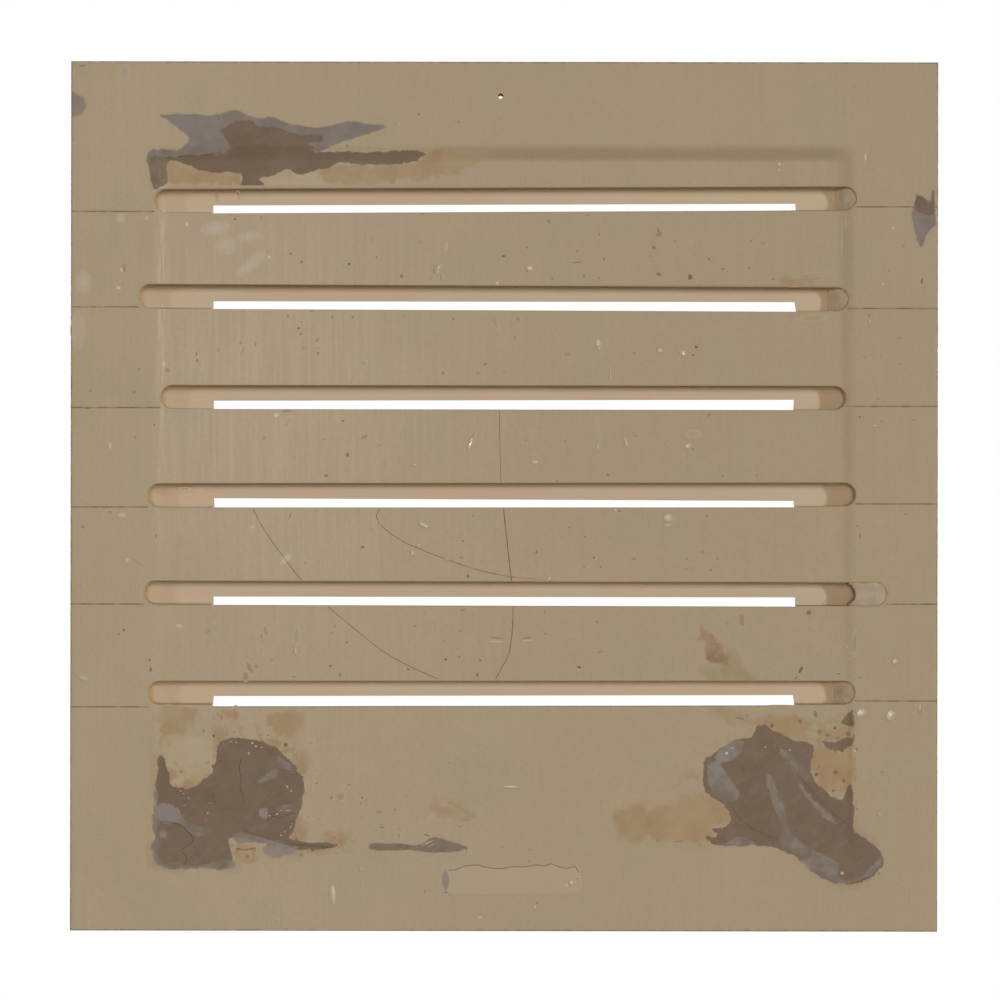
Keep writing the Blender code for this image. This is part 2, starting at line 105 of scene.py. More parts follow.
def writePoints(piece, points):
    piece.data.vertices.foreach_set("co", points.astype(np.float32).ravel())
    piece.data.update()


def keepValues(piece, values):
    for name, numbers in values.items():
        layer = piece.data.attributes.new(name, "FLOAT", "POINT")
        layer.data.foreach_set("value", np.asarray(numbers, np.float32))


def partsOf(made, kind):
    return [part for part in made["geom"] if isinstance(part, kind)]


def slope(degrees):
    return math.tan(math.radians(degrees))


def smoothLoop(points, closed=True, steps=4):
    # a smooth line through given points, in millimetres
    points = [Vector(p) for p in points]
    count = len(points)
    result = []
    for index in range(count if closed else count - 1):
        if closed:
            a, b, c, d = (points[(index + k) % count] for k in (-1, 0, 1, 2))
        else:
            b, c = points[index], points[index + 1]
            a = points[index - 1] if index else b * 2 - c
            d = points[index + 2] if index + 2 < count else c * 2 - b
        for step in range(steps):
            t = step / steps
            result.append((2 * b + (c - a) * t + (2 * a - 5 * b + 4 * c - d) * t * t
                           + (3 * b - a - 3 * c + d) * t ** 3) / 2)
    if not closed:
        result.append(points[-1])
    return [tuple(p) for p in result]


def insideBy(x, z, loop):
    # distance to a closed outline in millimetres, positive inside
    points = np.array(loop)
    best = np.full(x.shape, 1e6)
    inside = np.zeros(x.shape, bool)
    for (ax, az), (bx, bz) in zip(points, np.roll(points, -1, axis=0)):
        dx, dz = bx - ax, bz - az
        t = np.clip(((x - ax) * dx + (z - az) * dz) / max(dx * dx + dz * dz, 1e-9), 0, 1)
        best = np.minimum(best, np.hypot(x - ax - t * dx, z - az - t * dz))
        crosses = (az > z) != (bz > z)
        inside ^= crosses & (x < dx * (z - az) / (dz if abs(dz) > 1e-9 else 1e-9) + ax)
    return np.where(inside, best, -best)


def insideAny(x, z, outlines):
    best = np.full(x.shape, farOut)
    for outline in outlines:
        best = np.maximum(best, insideBy(x, z, smoothLoop(outline)))
    return best


def addGrid(bm, cells, size, middle):
    # a flat grid that faces forward, of the given width and height in metres
    bmesh.ops.create_grid(bm, x_segments=cells[0], y_segments=cells[1], size=0.5,
                          matrix=Matrix.Rotation(math.pi / 2, 4, "X"))
    bmesh.ops.scale(bm, verts=bm.verts, vec=(size[0], 1, size[1]))
    bmesh.ops.translate(bm, verts=bm.verts, vec=middle)
    return [edge for edge in bm.edges if edge.is_boundary]


def addPrism(bm, outline, startY, depth):
    # an outline in millimetres, pulled back by a depth in metres
    face = bm.faces.new([bm.verts.new((x * mm, startY, z * mm)) for x, z in outline])
    moved = bmesh.ops.extrude_face_region(bm, geom=[face])
    bmesh.ops.translate(bm, verts=partsOf(moved, bmesh.types.BMVert), vec=(0, depth, 0))


def cutSheet(name, outline, cell, startY, depth, material, past=4.0):
    # a finely divided slab of the outline's shape
    xs, zs = [p[0] for p in outline], [p[1] for p in outline]
    wide, high = max(xs) - min(xs) + past, max(zs) - min(zs) + past
    bm = bmesh.new()
    rim = addGrid(bm, (round(wide / cell), round(high / cell)), (wide * mm, high * mm),
                  ((max(xs) + min(xs)) / 2 * mm, startY, (max(zs) + min(zs)) / 2 * mm))
    made = bmesh.ops.extrude_edge_only(bm, edges=rim)
    bmesh.ops.translate(bm, verts=partsOf(made, bmesh.types.BMVert), vec=(0, depth * mm, 0))
    bmesh.ops.contextual_create(bm, geom=partsOf(made, bmesh.types.BMEdge))
    bmesh.ops.recalc_face_normals(bm, faces=bm.faces)
    piece = addObject(name, bm, material)
    bm = bmesh.new()
    addPrism(bm, outline, startY - past * mm, (depth + 2 * past) * mm)
    boolean(piece, bm, "INTERSECT")
    return piece


def softMin(a, b, width):
    share = np.clip(0.5 + 0.5 * (b - a) / width, 0, 1)
    return b + (a - b) * share - width * share * (1 - share)


# the board's surface: a sunken field, six slots and the air gaps (millimetres, degrees)

fieldShape = {"side": 183.5, "top": 413.5, "bottom": 43.8,
              "deepTop": 2.2, "deepBottom": 0.4, "innerTop": 406.1, "innerBottom": 45.4,
              "leftRun": 2.14, "rightRun": 3.36, "topRun": 3.36, "bottomRun": 4.0, "soft": 0.35, "setBack": 0.2}

slotCuts = (
    {"bottom": 379.5, "lean": 0.27, "left": -184.6, "right": 185.3, "slat": 383.6, "slatLean": 0.25,
     "gapBottom": 379.1, "gapLean": 0.36, "gapTopEnds": (-154.2, 153.9), "gapLowEnds": (-154.1, 154.5)},
    {"bottom": 327.8, "lean": -0.18, "left": -192.8, "right": 181.1, "slat": 332.2, "slatLean": 0,
     "gapBottom": 327.2, "gapLean": -0.19, "gapTopEnds": (-154, 153.6), "gapLowEnds": (-154.1, 155)},
    {"bottom": 275.2, "lean": 0, "left": -181.2, "right": 180, "slat": 280, "slatLean": 0.18,
     "gapBottom": 274.9, "gapLean": -0.02, "gapTopEnds": (-153.8, 153.3), "gapLowEnds": (-153.8, 153)},
    {"bottom": 223.8, "lean": 0.14, "left": -187.8, "right": 185.1, "slat": 227.4, "slatLean": -0.19,
     "gapBottom": 223.3, "gapLean": 0.09, "gapTopEnds": (-153.6, 153.3), "gapLowEnds": (-153.3, 153.8)},
    {"bottom": 171.9, "lean": -0.06, "left": -189.7, "right": 185.6, "slat": 175.8, "slatLean": 0,
     "gapBottom": 171.2, "gapLean": -0.09, "gapTopEnds": (-153.8, 154.1), "gapLowEnds": (-153.8, 154.3)},
    {"bottom": 119.5, "lean": 0.08, "left": -187.5, "right": 184.8, "slat": 123.6, "slatLean": 0.18,
     "gapBottom": 118.2, "gapLean": 0.18, "gapTopEnds": (-153.6, 153.2), "gapLowEnds": (-154.2, 153.9)},
)
slotHeight = 12.2
slotHalf = slotHeight / 2
overcut = {"slot": 5, "length": 16.0}


def fieldDepth(x, z):
    # how far the surface lies below the CAD board's front, in millimetres
    f = fieldShape
    rise = (z - f["innerBottom"]) / (f["innerTop"] - f["innerBottom"])
    depth = f["deepBottom"] + (f["deepTop"] - f["deepBottom"]) * rise
    depth = softMin(depth, (x + f["side"]) / f["leftRun"], f["soft"])
    depth = softMin(depth, (f["side"] - x) / f["rightRun"], f["soft"])
    depth = softMin(depth, (f["top"] - z) / f["topRun"], f["soft"])
    depth = softMin(depth, (z - f["bottom"]) / f["bottomRun"], f["soft"] * 0.5)
    return f["setBack"] - softMin(-depth, 0.0 * x, f["soft"] * 0.5)


def pushSlotRing(verts, slot, radius, y, rightEnd):
    # moves a ring of points to one depth and one distance out from the slot's middle line
    ends = [slot["left"] + slotHalf, rightEnd - slotHalf]
    for vert in verts:
        end = ends[1] if vert.co.x > sum(ends) / 2 * mm else ends[0]
        away = Vector((vert.co.x / mm - end, 0, vert.co.z / mm - slot["bottom"] - slotHalf))
        away = away.normalized() * radius
        vert.co = Vector(((end + away.x) * mm, y, (slot["bottom"] + slotHalf + away.z) * mm))


def addSlotCutter(bm, slot, rings, rightEnd=None, sides=48):
    # a long round-ended plug, given as (depth, widening) rings, front to back
    rightEnd = rightEnd or slot["right"]
    made = bmesh.ops.create_circle(bm, cap_ends=True, radius=slotHalf * mm, segments=sides,
                                   matrix=Matrix.Rotation(math.pi / 2, 4, "X"))["verts"]
    bmesh.ops.rotate(bm, verts=made, cent=(0, 0, 0), matrix=Matrix.Rotation(math.pi / sides, 3, "Y"))
    for vert in made:
        vert.co.x += math.copysign((rightEnd - slot["left"]) / 2 - slotHalf, vert.co.x) * mm
    bmesh.ops.translate(bm, verts=made, vec=((slot["left"] + rightEnd) / 2 * mm, 0,
                                             (slot["bottom"] + slotHalf) * mm))
    fit = 1 / math.cos(math.pi / sides)
    face = made[0].link_faces[0]
    everything = list(made)
    pushSlotRing(made, slot, (slotHalf + rings[0][1]) * fit, rings[0][0], rightEnd)
    for step, (y, grow) in enumerate(rings[1:]):
        moved = bmesh.ops.extrude_face_region(bm, geom=[face])
        if step:
            bmesh.ops.delete(bm, geom=[face], context="FACES_ONLY")
        face = partsOf(moved, bmesh.types.BMFace)[0]
        pushSlotRing(face.verts, slot, (slotHalf + grow) * fit, y, rightEnd)
        everything += list(face.verts)
    bmesh.ops.rotate(bm, verts=everything, matrix=Matrix.Rotation(math.radians(-slot["lean"]), 3, "Y"),
                     cent=(0, 0, (slot["bottom"] + slotHalf) * mm))


def gapCorners(slot, low):
    # the air gap's outline: straight ends that spread a little downwards
    lean, slatLean = slope(slot["gapLean"]), slope(slot["slatLean"])
    (topLeft, topRight), (lowLeft, lowRight) = slot["gapTopEnds"], slot["gapLowEnds"]
    return ((lowLeft, low + lean * lowLeft), (topLeft, slot["slat"] + slatLean * topLeft),
            (topRight, slot["slat"] + slatLean * topRight), (lowRight, low + lean * lowRight))


board = {"edgeRound": 0.8, "cell": 2.0, "rebateSide": 25.1, "nailX": -2.2, "nailZ": 439.9, "nailRadius": 1.3,
         "underPatch": 3.0, "dip": 0.25, "gapPast": 2.0}
# a paint-rounded mouth: (depth, widening) from the surface down, past both ends of the cut
mouth = {"before": 1.0, "flare": 2.45, "rings": ((0.10, 0.1925), (0.27, 0.077), (0.6, 0.0)), "past": 1.0}


def boardBlank():
    # a fine grid for the front, drawn back over a rounded edge to a plain back with a rebate
    r = board["edgeRound"] * mm
    wide, high = boardWidth - 2 * r, boardHeight - 2 * r
    bm = bmesh.new()
    cells = round(wide / (board["cell"] * mm))
    rim = addGrid(bm, (cells, cells), (wide, high), (0, frontY, 0))
    depth = flangeY - frontY
    steps = [(r * math.sin(a), r * (1 - math.cos(a))) for a in (math.pi / 6, math.pi / 3, math.pi / 2)]
    steps += [(out, depth - back) for out, back in reversed(steps)] + [(0.0, depth)]
    inner = r - board["rebateSide"] * mm
    steps += [(inner, depth), (inner, webY - frontY)]
    before, beforeY = 0.0, 0.0
    for out, back in steps:
        made = bmesh.ops.extrude_edge_only(bm, edges=rim)
        verts, rim = (partsOf(made, kind) for kind in (bmesh.types.BMVert, bmesh.types.BMEdge))
        bmesh.ops.scale(bm, verts=verts, vec=((wide + 2 * out) / (wide + 2 * before), 1,
                                              (high + 2 * out) / (high + 2 * before)))
        bmesh.ops.translate(bm, verts=verts, vec=(0, back - beforeY, 0))
        before, beforeY = out, back
    bmesh.ops.contextual_create(bm, geom=rim)
    bmesh.ops.translate(bm, verts=bm.verts, vec=(0, 0, boardHeight / 2))
    bmesh.ops.recalc_face_normals(bm, faces=bm.faces)
    return bm


def mouthRings(grow=1.0, offset=0.0):
    rings = [(frontY - mouth["before"] * mm, mouth["flare"])]
    rings += [(frontY + depth * mm, wider) for depth, wider in mouth["rings"]]
    rings += [(flangeY + mouth["past"] * mm, 0.0)]
    return [(y, wider * grow + offset) for y, wider in rings]


pencil = {"leftZ": (378.9, 328.6, 275.6, 223.2, 172.1, 117.9),
          "rightZ": (381.9, 328.4, 276.8, 225.4, 172.6, 121.6), "fadeFrom": 9.0, "fadeOver": 3.0}
blush = {"x": -130.0, "z": 275.0, "wide": 95.0, "high": 110.0, "sideFade": 6.0, "topFade": 9.0}
# the left slope is rubbed pale upwards from a height, with painted light on it; the top slope gets painted
# shade towards the right
rubbedAndLit = {"from": 190.0, "over": 90.0, "top": 388.0, "end": 4.0, "slopes": 2.2}
topShade = {"from": -60.0, "over": 60.0, "end": 10.0}
paintedDepth = 3.0                      # smears stay on the front, above this depth

boardSmears = {
    "greySmear": [[(-229.5, 441.8), (-225, 440.6), (-221.6, 438.2), (-220.6, 434.8), (-221.6, 431.4),
         (-224.8, 429.4), (-229.5, 430.6)]],
    "tanSmear": [[(60, 62), (66, 66), (74, 66.5), (76, 60), (75, 48), (66, 47), (61, 52)],
        [(102.5, 141.5), (110.9, 139.6), (117.4, 147.6), (122.1, 146.2), (125.7, 139.2), (130.5, 133.2),
         (131.5, 131), (113, 130.8), (104.3, 137)],
        [(109.5, 118.2), (114.8, 118.8), (121.6, 115.7), (129.5, 112.5), (130.5, 110), (124.2, 110.3),
         (115.8, 113.5), (109.5, 116)],
        [(147, 343.2), (154, 345.4), (163.5, 345), (160, 340.5), (148, 339.6)],
        [(-37, 66.5), (-22, 66), (-14, 60.5), (-24, 58.5), (-38, 61.5)]],
    "rustSmear": [[(103.2, 162.2), (106.9, 159), (110, 153.6), (113.6, 150.7), (117.4, 146.9), (118.8, 141.7),
         (113, 140.6), (107.5, 143.6), (105.2, 147.8), (106.3, 151.5), (103.6, 156.8)]],
}


def fade(value, over):
    return np.clip(value / over, 0, 1)


def boardValues(piece, x, z):
    # distances and shares that the paint reads
    lines = np.where(x[:, None] < 0, np.array(pencil["leftZ"])[None, :], np.array(pencil["rightZ"])[None, :])
    gaps = z[:, None] - lines
    nearest = np.abs(gaps).argmin(axis=1)
    off = gaps[np.arange(len(x)), nearest]
    ends = np.array([[slot["left"], slot["right"]] for slot in slotCuts])
    past = np.where(x < 0, ends[nearest, 0] - x, x - ends[nearest, 1])
    past = np.where((nearest == overcut["slot"] - 1) & (x > 0), past - overcut["length"], past)
    half = boardWidth / 2 / mm
    rimBy = np.minimum(np.minimum(half - x, half + x), np.minimum(z, boardHeight / mm - z))
    deep = (readPoints(piece)[:, 1] - frontY) / mm
    onFront = np.where(deep < paintedDepth, 1.0, 0.0)
    near = np.full(x.shape, 99.0)
    for slot in slotCuts:
        middle = slot["bottom"] + slotHalf + slope(slot["lean"]) * x
        aside = np.maximum(np.maximum(slot["left"] + slotHalf - x, x - slot["right"] + slotHalf), 0)
        near = np.minimum(near, np.hypot(aside, z - middle) - slotHalf)
    f = fieldShape
    inField = fade(x + f["side"], blush["sideFade"]) * fade(f["top"] - z, blush["topFade"])
    cloud = np.exp(-((x - blush["x"]) / blush["wide"]) ** 2 - ((z - blush["z"]) / blush["high"]) ** 2)
    onSlope = fade(x + f["side"] + 0.4, 1.2) * fade(f["leftRun"] * rubbedAndLit["slopes"] - f["side"] - x + 0.8, 1.6)
    onTop = fade(f["top"] - z + 0.6, 1.6) * fade(z - f["innerTop"] + 0.6, 1.6)
    keepValues(piece, {
        "pencilOff": off, "pencilPast": past,
        "pencilBy": fade(pencil["fadeFrom"] - np.abs(off), pencil["fadeOver"]), "deep": deep,
        "rimBy": np.maximum(rimBy, deep - board["edgeRound"]), "slotNear": near,
        "blush": onFront * inField * cloud,
        "rubbedAndLit": onFront * onSlope * fade(z - rubbedAndLit["from"], rubbedAndLit["over"])
                  * fade(rubbedAndLit["top"] - z, rubbedAndLit["end"]),
        "topShade": onFront * onTop * fade(x - topShade["from"], topShade["over"])
                  * fade(f["side"] - x, topShade["end"])})
    keepValues(piece, {name: np.where(deep < paintedDepth, insideAny(x, z, loops), farOut)
                       for name, loops in boardSmears.items()})


def makeBoard(material):
    piece = addObject("paintedBoard", boardBlank(), material)
    bm = bmesh.new()
    for number, slot in enumerate(slotCuts, 1):
        extra = overcut["length"] if number == overcut["slot"] else 0.0
        addSlotCutter(bm, slot, mouthRings(), slot["right"] + extra)
    nail = {"bottom": board["nailZ"] - slotHalf, "lean": 0.0, "left": board["nailX"] - slotHalf - 0.01,
            "right": board["nailX"] + slotHalf + 0.01}
    addSlotCutter(bm, nail, mouthRings(0.6, board["nailRadius"] - slotHalf), sides=24)
    boolean(piece, bm, "DIFFERENCE")
    bm = bmesh.new()
    for slot in slotCuts:
        # the air gap was sawn a little below the slot's own edge
        addPrism(bm, gapCorners(slot, slot["gapBottom"]), frontY - board["gapPast"] * mm,
                 flangeY - frontY + 2 * board["gapPast"] * mm)
    boolean(piece, bm, "DIFFERENCE")
    # the front follows the sunken field, the back stays flat, and patches get a bed
    points = readPoints(piece)
    x, z = points[:, 0] / mm, points[:, 2] / mm
    points[:, 1] += fieldDepth(x, z) * mm * fade(webY - points[:, 1], webY - frontY)
    covered = np.full(x.shape, -1.0)
    for facts in patchPieces.values():
        covered = np.maximum(covered, insideBy(x, z, smoothLoop(facts["outline"], steps=3)))
    onFront = points[:, 1] < frontY + (fieldDepth(x, z) + 0.02) * mm
    points[:, 1] += np.where((covered > board["underPatch"]) & onFront, board["dip"] * mm, 0.0)
    writePoints(piece, points)
    boardValues(piece, x, z)
    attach(piece, rideBody)
    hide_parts("face_board")


# filler patches: an outline for each inlay, and inside it the coats one over the other

patchPieces = {
    "fillerTopLeft": {
        "replaces": "filler_top_left", "slot": "brown_filler", "cell": 0.8, "crumby": 0.2,
        "outline": [(-188.5, 410), (-183.5, 413.5), (-176, 417.5), (-180.5, 425.5), (-184, 430.5),
            (-165, 434.5), (-146, 435.5), (-128, 432.5), (-108, 427.5), (-80, 430.5), (-58, 425.5), (-62, 417),
            (-60, 413.8), (-38, 413.8), (-10, 412.5), (-8, 404), (-30, 396.5), (-60, 393), (-92, 392.4),
            (-125, 392.3), (-150, 392.2), (-178, 392.1), (-182, 391), (-186.5, 390), (-190, 400)],
        "layers": {
            "tan": [[(-182, 406.3), (-171.5, 404.7), (-164.8, 402.3), (-159.5, 400.3), (-146, 399.7),
                 (-139.3, 399), (-138.3, 396), (-139.3, 392.3), (-150, 393.3), (-163.5, 393.9), (-181, 393.2),
                 (-182, 400)],
                [(-97.5, 400.8), (-91.4, 402.8), (-80.7, 404.1), (-64.5, 403.5), (-53.8, 404.2), (-45.1, 406.2),
                 (-39.7, 409.6), (-41.7, 411.6), (-30.3, 411.9), (-20.2, 410.6), (-14.1, 408.9), (-15.5, 404.2),
                 (-21.5, 401.5), (-30.3, 399.5), (-40.3, 397.5), (-50.4, 395.8), (-63.9, 394.8), (-77.3, 394.1),
                 (-94.1, 394.7), (-96.4, 397.4)]],
            "cream": [[(-129.9, 396.7), (-119.8, 399), (-114.4, 400.7), (-109.1, 398.4), (-99.7, 400.8),
                 (-97.6, 397.4), (-96.3, 391.4), (-129.9, 391), (-127.2, 394)]],
            "grey": [[(-181.3, 429.2), (-174.2, 430.2), (-166.8, 430.6), (-159.5, 430.2), (-154.1, 429.7),
                 (-150, 430.9), (-144, 432.1), (-140, 431.7), (-135.3, 429.6), (-130.6, 428.3), (-123.2, 428.8),
                 (-117.8, 426.9), (-113.1, 425.5), (-103, 423.9), (-92.8, 424.4), (-86, 426.4), (-80.7, 426.6),
                 (-73.9, 425.5), (-67.2, 424.7), (-61.8, 424), (-67.2, 421.6), (-72.6, 419.6), (-79.3, 417.2),
                 (-85.4, 415.9), (-90.1, 413.9), (-96.1, 411.2), (-107.5, 410.1), (-129.9, 408.8),
                 (-150, 409.1), (-166.8, 408.2), (-174.9, 407.7), (-181, 407.3), (-183.6, 406.3), (-186, 402.6),
                 (-188, 404), (-188.3, 408.7), (-186.3, 411.4), (-180.3, 411.4), (-171.5, 411.4),
                 (-168.2, 414.1), (-166.5, 416.8), (-167.5, 420.1), (-171.5, 422.8), (-176.9, 426.8)]],
            "strip": [[(-186.3, 407.4), (-187, 400), (-185.7, 393.2), (-183.6, 388.9), (-181.2, 389.9),
                 (-178.3, 391.9), (-177.8, 397.3), (-178.4, 402.6), (-178, 407.2)]],
            "brown": [[(-144.7, 412.1), (-146, 415.5), (-148.7, 419.5), (-152.1, 420.2), (-150, 422.2),
                 (-146, 424.9), (-141.3, 426.6), (-136.6, 426.9), (-132.6, 426.2), (-129.2, 423.9),
                 (-123.2, 423.6), (-117.8, 423.2), (-111.8, 420.9), (-107.1, 419.2), (-101.7, 419.6),
                 (-96.3, 419.7), (-95.6, 416.1), (-100.3, 415.5), (-103, 414.5), (-100.3, 412.8), (-103, 410.8),
                 (-98, 410), (-85.4, 410.5), (-73.9, 410.9), (-60.5, 410.9), (-50.4, 411.4), (-45.7, 411.6),
                 (-40.3, 409.4), (-43, 408.2), (-47.1, 405.9), (-55.1, 404.5), (-63.9, 403.8), (-75.3, 403.8),
                 (-82, 404.5), (-87.4, 404.8), (-92.1, 402.8), (-97.6, 401.8), (-103, 400.1), (-108.4, 398.7),
                 (-111.1, 400.1), (-114.4, 401.1), (-120.5, 399.4), (-125.9, 397.7), (-130.6, 397.3),
                 (-138, 398.7), (-146, 400), (-154.1, 400.2), (-159.5, 400.7), (-164.8, 402.7), (-171.5, 405),
                 (-178.9, 406.7), (-182.6, 406.7), (-174.9, 407.9), (-156.8, 409), (-150, 409.4)],
                [(-139.5, 402), (-138.8, 397.3), (-139, 393.3), (-139.4, 390.6), (-129.9, 391), (-126.5, 393.6),
                 (-129.8, 396), (-126.5, 399.5)]],
        },
    },
    "fillerBottomLeft": {
        "replaces": "filler_bottom_left", "slot": "brown_filler", "cell": 0.8, "crumby": 1,
        "outline": [(-184.5, 117.5), (-160, 117.5), (-141, 117.3), (-120, 117.3), (-101, 117), (-101, 104),
            (-98, 88), (-99, 70), (-102, 58), (-80, 55), (-64, 60), (-62, 71), (-40, 70), (-14, 69.5),
            (-11, 58), (-20, 52), (-14, 45), (-20, 38), (-60, 38), (-100, 36), (-120, 35), (-139, 29.5),
            (-165, 28), (-185, 30), (-189.5, 40), (-188, 60), (-187.5, 90)],
        "layers": {
            "tan": [[(-141.8, 45.3), (-129.1, 44.8), (-129.7, 36.3), (-139.1, 34.7)],
                [(-92.8, 51.1), (-84.9, 50.1), (-84.9, 44.8), (-92.8, 44.8)],
                [(-151.3, 118), (-141.8, 117.4), (-141.2, 112.2), (-150.7, 111.6)],
                [(-180.8, 117.4), (-162.8, 116.9), (-165.5, 106.9), (-171.8, 97.4), (-179.7, 96.8)],
                [(-124.4, 115.4), (-105.4, 115.9), (-106.5, 105.9), (-122.3, 104.8)]],
            "brown": [[(-182.3, 90.5), (-178.6, 89.5), (-175, 77.4), (-168.9, 75.3), (-161.5, 76.8),
                 (-154.2, 83.2), (-151.3, 92.1), (-147.6, 100.6), (-130.7, 100.6), (-118.6, 95.9),
                 (-115.7, 92.2), (-108.3, 84.8), (-105.4, 76.9), (-107, 65.9), (-109.6, 55.3), (-112.8, 49.5),
                 (-108.3, 46.4), (-89.1, 45.1), (-109.6, 42.7), (-142.3, 49.5), (-143.9, 43.7), (-144.4, 35.3),
                 (-162.8, 33.1), (-180.8, 35.2), (-184.4, 40.5), (-183.9, 49.4), (-183.4, 68.9)],
                [(-110, 48), (-100, 46.4), (-88.5, 45.6), (-88.5, 44.4), (-100, 44.3), (-110, 43.5)]],
            "strip": [[(-69.5, 46.2), (-60, 46.3), (-52, 45.9), (-45, 45.2), (-41.5, 46.8), (-38, 49),
                 (-34, 49.4), (-27, 46.8), (-20, 44.9), (-19.5, 43), (-30, 41.8), (-40, 41.6), (-46, 42.2),
                 (-56, 42.6), (-69.5, 42.9)]],
            "cream": [[(-179.2, 102.1), (-168.1, 103.2), (-153.9, 100.6), (-151.8, 94.2), (-154.9, 84.2),
                 (-161.8, 77.4), (-169.2, 75.8), (-175, 78.4), (-178.6, 90)]],
            "over": [[(-181.5, 67.1), (-174.1, 65.7), (-169.7, 62), (-165.3, 56.1), (-156.4, 53.9),
                 (-152.7, 53.2), (-156.4, 50.2), (-162.3, 49.9), (-168.2, 53.9), (-174.1, 56.8),
                 (-181.5, 57.5)],
                [(-130.6, 79), (-126.9, 80.9), (-122.5, 83.4), (-119.2, 84.2), (-120.3, 82), (-124.7, 79),
                 (-129.1, 77.1)],
                [(-119.5, 92.3), (-115.8, 90.1), (-111.4, 86.4), (-112.9, 84.9), (-117.3, 86.8),
                 (-119.2, 88.6)],
                [(-128.7, 63.5), (-125.4, 64.3), (-124, 61.3), (-125.4, 58.8), (-128.4, 59.8)],
                [(-118.8, 65), (-113.6, 65.7), (-109.5, 64.3), (-109.9, 62.1), (-115.1, 62.4), (-118.8, 62.8)],
                [(-185.2, 44.3), (-183, 50.2), (-180.7, 53.1), (-177.8, 51.6), (-180.7, 47.2), (-181.5, 38.4),
                 (-177.1, 36.2), (-162.3, 35.1), (-144.6, 37.7), (-143.4, 33.7), (-162.3, 32.2), (-180, 33.6),
                 (-184.4, 38.4)],
                [(-141.7, 51.7), (-132.8, 51), (-122.5, 47.3), (-115.1, 45.5), (-128.4, 45.8), (-140.9, 45.8)],
                [(-183.9, 74), (-182.9, 73), (-182.6, 66), (-182.6, 55), (-184.6, 50), (-184.5, 60)],
                [(-126.9, 44.3), (-121, 45.1), (-109.2, 44.4), (-112.2, 40.7), (-121, 38.7), (-126.2, 41.4)]],
        },
    },
    "fillerBottomRight": {
        "replaces": "filler_bottom_right", "slot": "brown_filler", "cell": 0.8, "crumby": 1,
        "outline": [(86, 78), (99, 92), (107, 99.5), (118, 104.5), (127, 110), (128.5, 117), (150, 117.2),
            (183, 117.3), (188, 117.4), (188, 100), (188.5, 80), (188.5, 58), (199.5, 49), (205, 38), (202, 29),
            (190, 21), (177, 20), (165, 26), (150, 36), (133, 41), (112, 41.5), (100, 42), (74, 44), (71, 64)],
        "layers": {
            "tan": [[(90.8, 68.8), (104.9, 71.6), (114.8, 67.4), (118.4, 62.5), (119.1, 58.2), (114.8, 56.1),
                 (108.5, 55.4), (111.3, 50.4), (106.4, 49), (102.1, 45.8), (90.8, 46.2), (76.7, 49),
                 (76.7, 63.1)],
                [(133.2, 109), (134.6, 112.6), (147.3, 114.7), (157.9, 112.6), (161.4, 102.7), (163.1, 99.2),
                 (154.3, 101), (143.7, 105.5), (140.2, 108.3)],
                [(163.9, 97.8), (168.4, 99.9), (183.4, 99.9), (183.8, 79.5), (180.4, 77.4), (177.6, 71),
                 (174.1, 71.7), (168.4, 75.9), (163.9, 80.9), (161.7, 88.6)]],
            "brown": [[(106.4, 90.7), (110.6, 94.2), (116.2, 97.7), (122.6, 100.6), (129.6, 102.7),
                 (133.2, 107.6), (137.4, 109), (141.6, 106.2), (147.3, 103.4), (156.4, 99.9), (163.1, 98.8),
                 (163.5, 93.6), (161.4, 88.6), (163.5, 80.2), (168.4, 75.2), (174.1, 71), (178.3, 70.3),
                 (181.1, 77.4), (183.4, 78.8), (184.1, 74.5), (184.1, 54.8), (189.6, 50.6), (195.2, 46.3),
                 (199.5, 41.4), (200.5, 37.9), (198.8, 33.6), (193.1, 28.7), (186.8, 25.2), (181.1, 24.5),
                 (174.8, 25.9), (168.4, 28.7), (163.5, 32.9), (158.6, 37.1), (151.5, 41.3), (143, 44.5),
                 (133.2, 45.2), (121.2, 44.7), (112, 45.2), (108.5, 47.3), (106.4, 49.7), (112, 50.4),
                 (110.6, 54), (115.5, 55.4), (120.5, 58.2), (118.4, 63.2), (114.8, 68.1), (108.5, 71.6),
                 (105.7, 75.1), (104.6, 80.1), (105.7, 86.4)],
                [(164.9, 102.4), (169.1, 100.6), (174.8, 99.9), (179, 102), (183.6, 102.8), (183.6, 107.7),
                 (177.6, 109.8), (179, 112.6), (182.5, 116.9), (184.1, 116.9), (184.1, 99.2), (174.1, 95.7),
                 (168.4, 98.5)]],
            "over": [[(107.8, 88.3), (111.6, 89.4), (116.2, 85.2), (121.1, 78.8), (124.2, 73.6), (123.4, 69.4),
                 (117.9, 68.3), (111.6, 71.5), (107.8, 78.8)],
                [(110.6, 92.4), (115.5, 97.7), (121.2, 99.8), (126.1, 99.9), (124.7, 94.9), (120.5, 90.7),
                 (115.5, 88.9), (112, 90)],
                [(145.9, 95.6), (151.5, 92.5), (156.4, 87.9), (160.3, 83), (159.3, 80.5), (155, 82.3),
                 (150.8, 87.2), (147.3, 91.4)],
                [(155.4, 78), (158.6, 75.2), (163.5, 68.9), (169.1, 63.9), (175.5, 57.6), (173.4, 56.9),
                 (167, 62.5), (161.4, 68.2), (157.2, 73.8)],
                [(138.1, 82.9), (141.6, 81.5), (144.5, 73.1), (148, 66), (149.4, 54.7), (156.4, 47.7),
                 (168.4, 40.7), (175.5, 35.7), (176.2, 31.5), (172, 28.3), (163.5, 33.2), (154.3, 40.6),
                 (147.3, 44.9), (146.6, 54.7), (143, 64.6), (140.2, 73.1)],
                [(145.3, 48.3), (153.7, 39.9), (162.2, 32.6), (170.6, 27.3), (179, 24.6), (187.4, 26.7),
                 (195.9, 32), (200.1, 37.9), (199, 41.2), (195, 36.6), (189.5, 30.7), (181.1, 27.9),
                 (172.7, 30.7), (164.3, 36.6), (155.8, 43.7), (149.5, 49.2)],
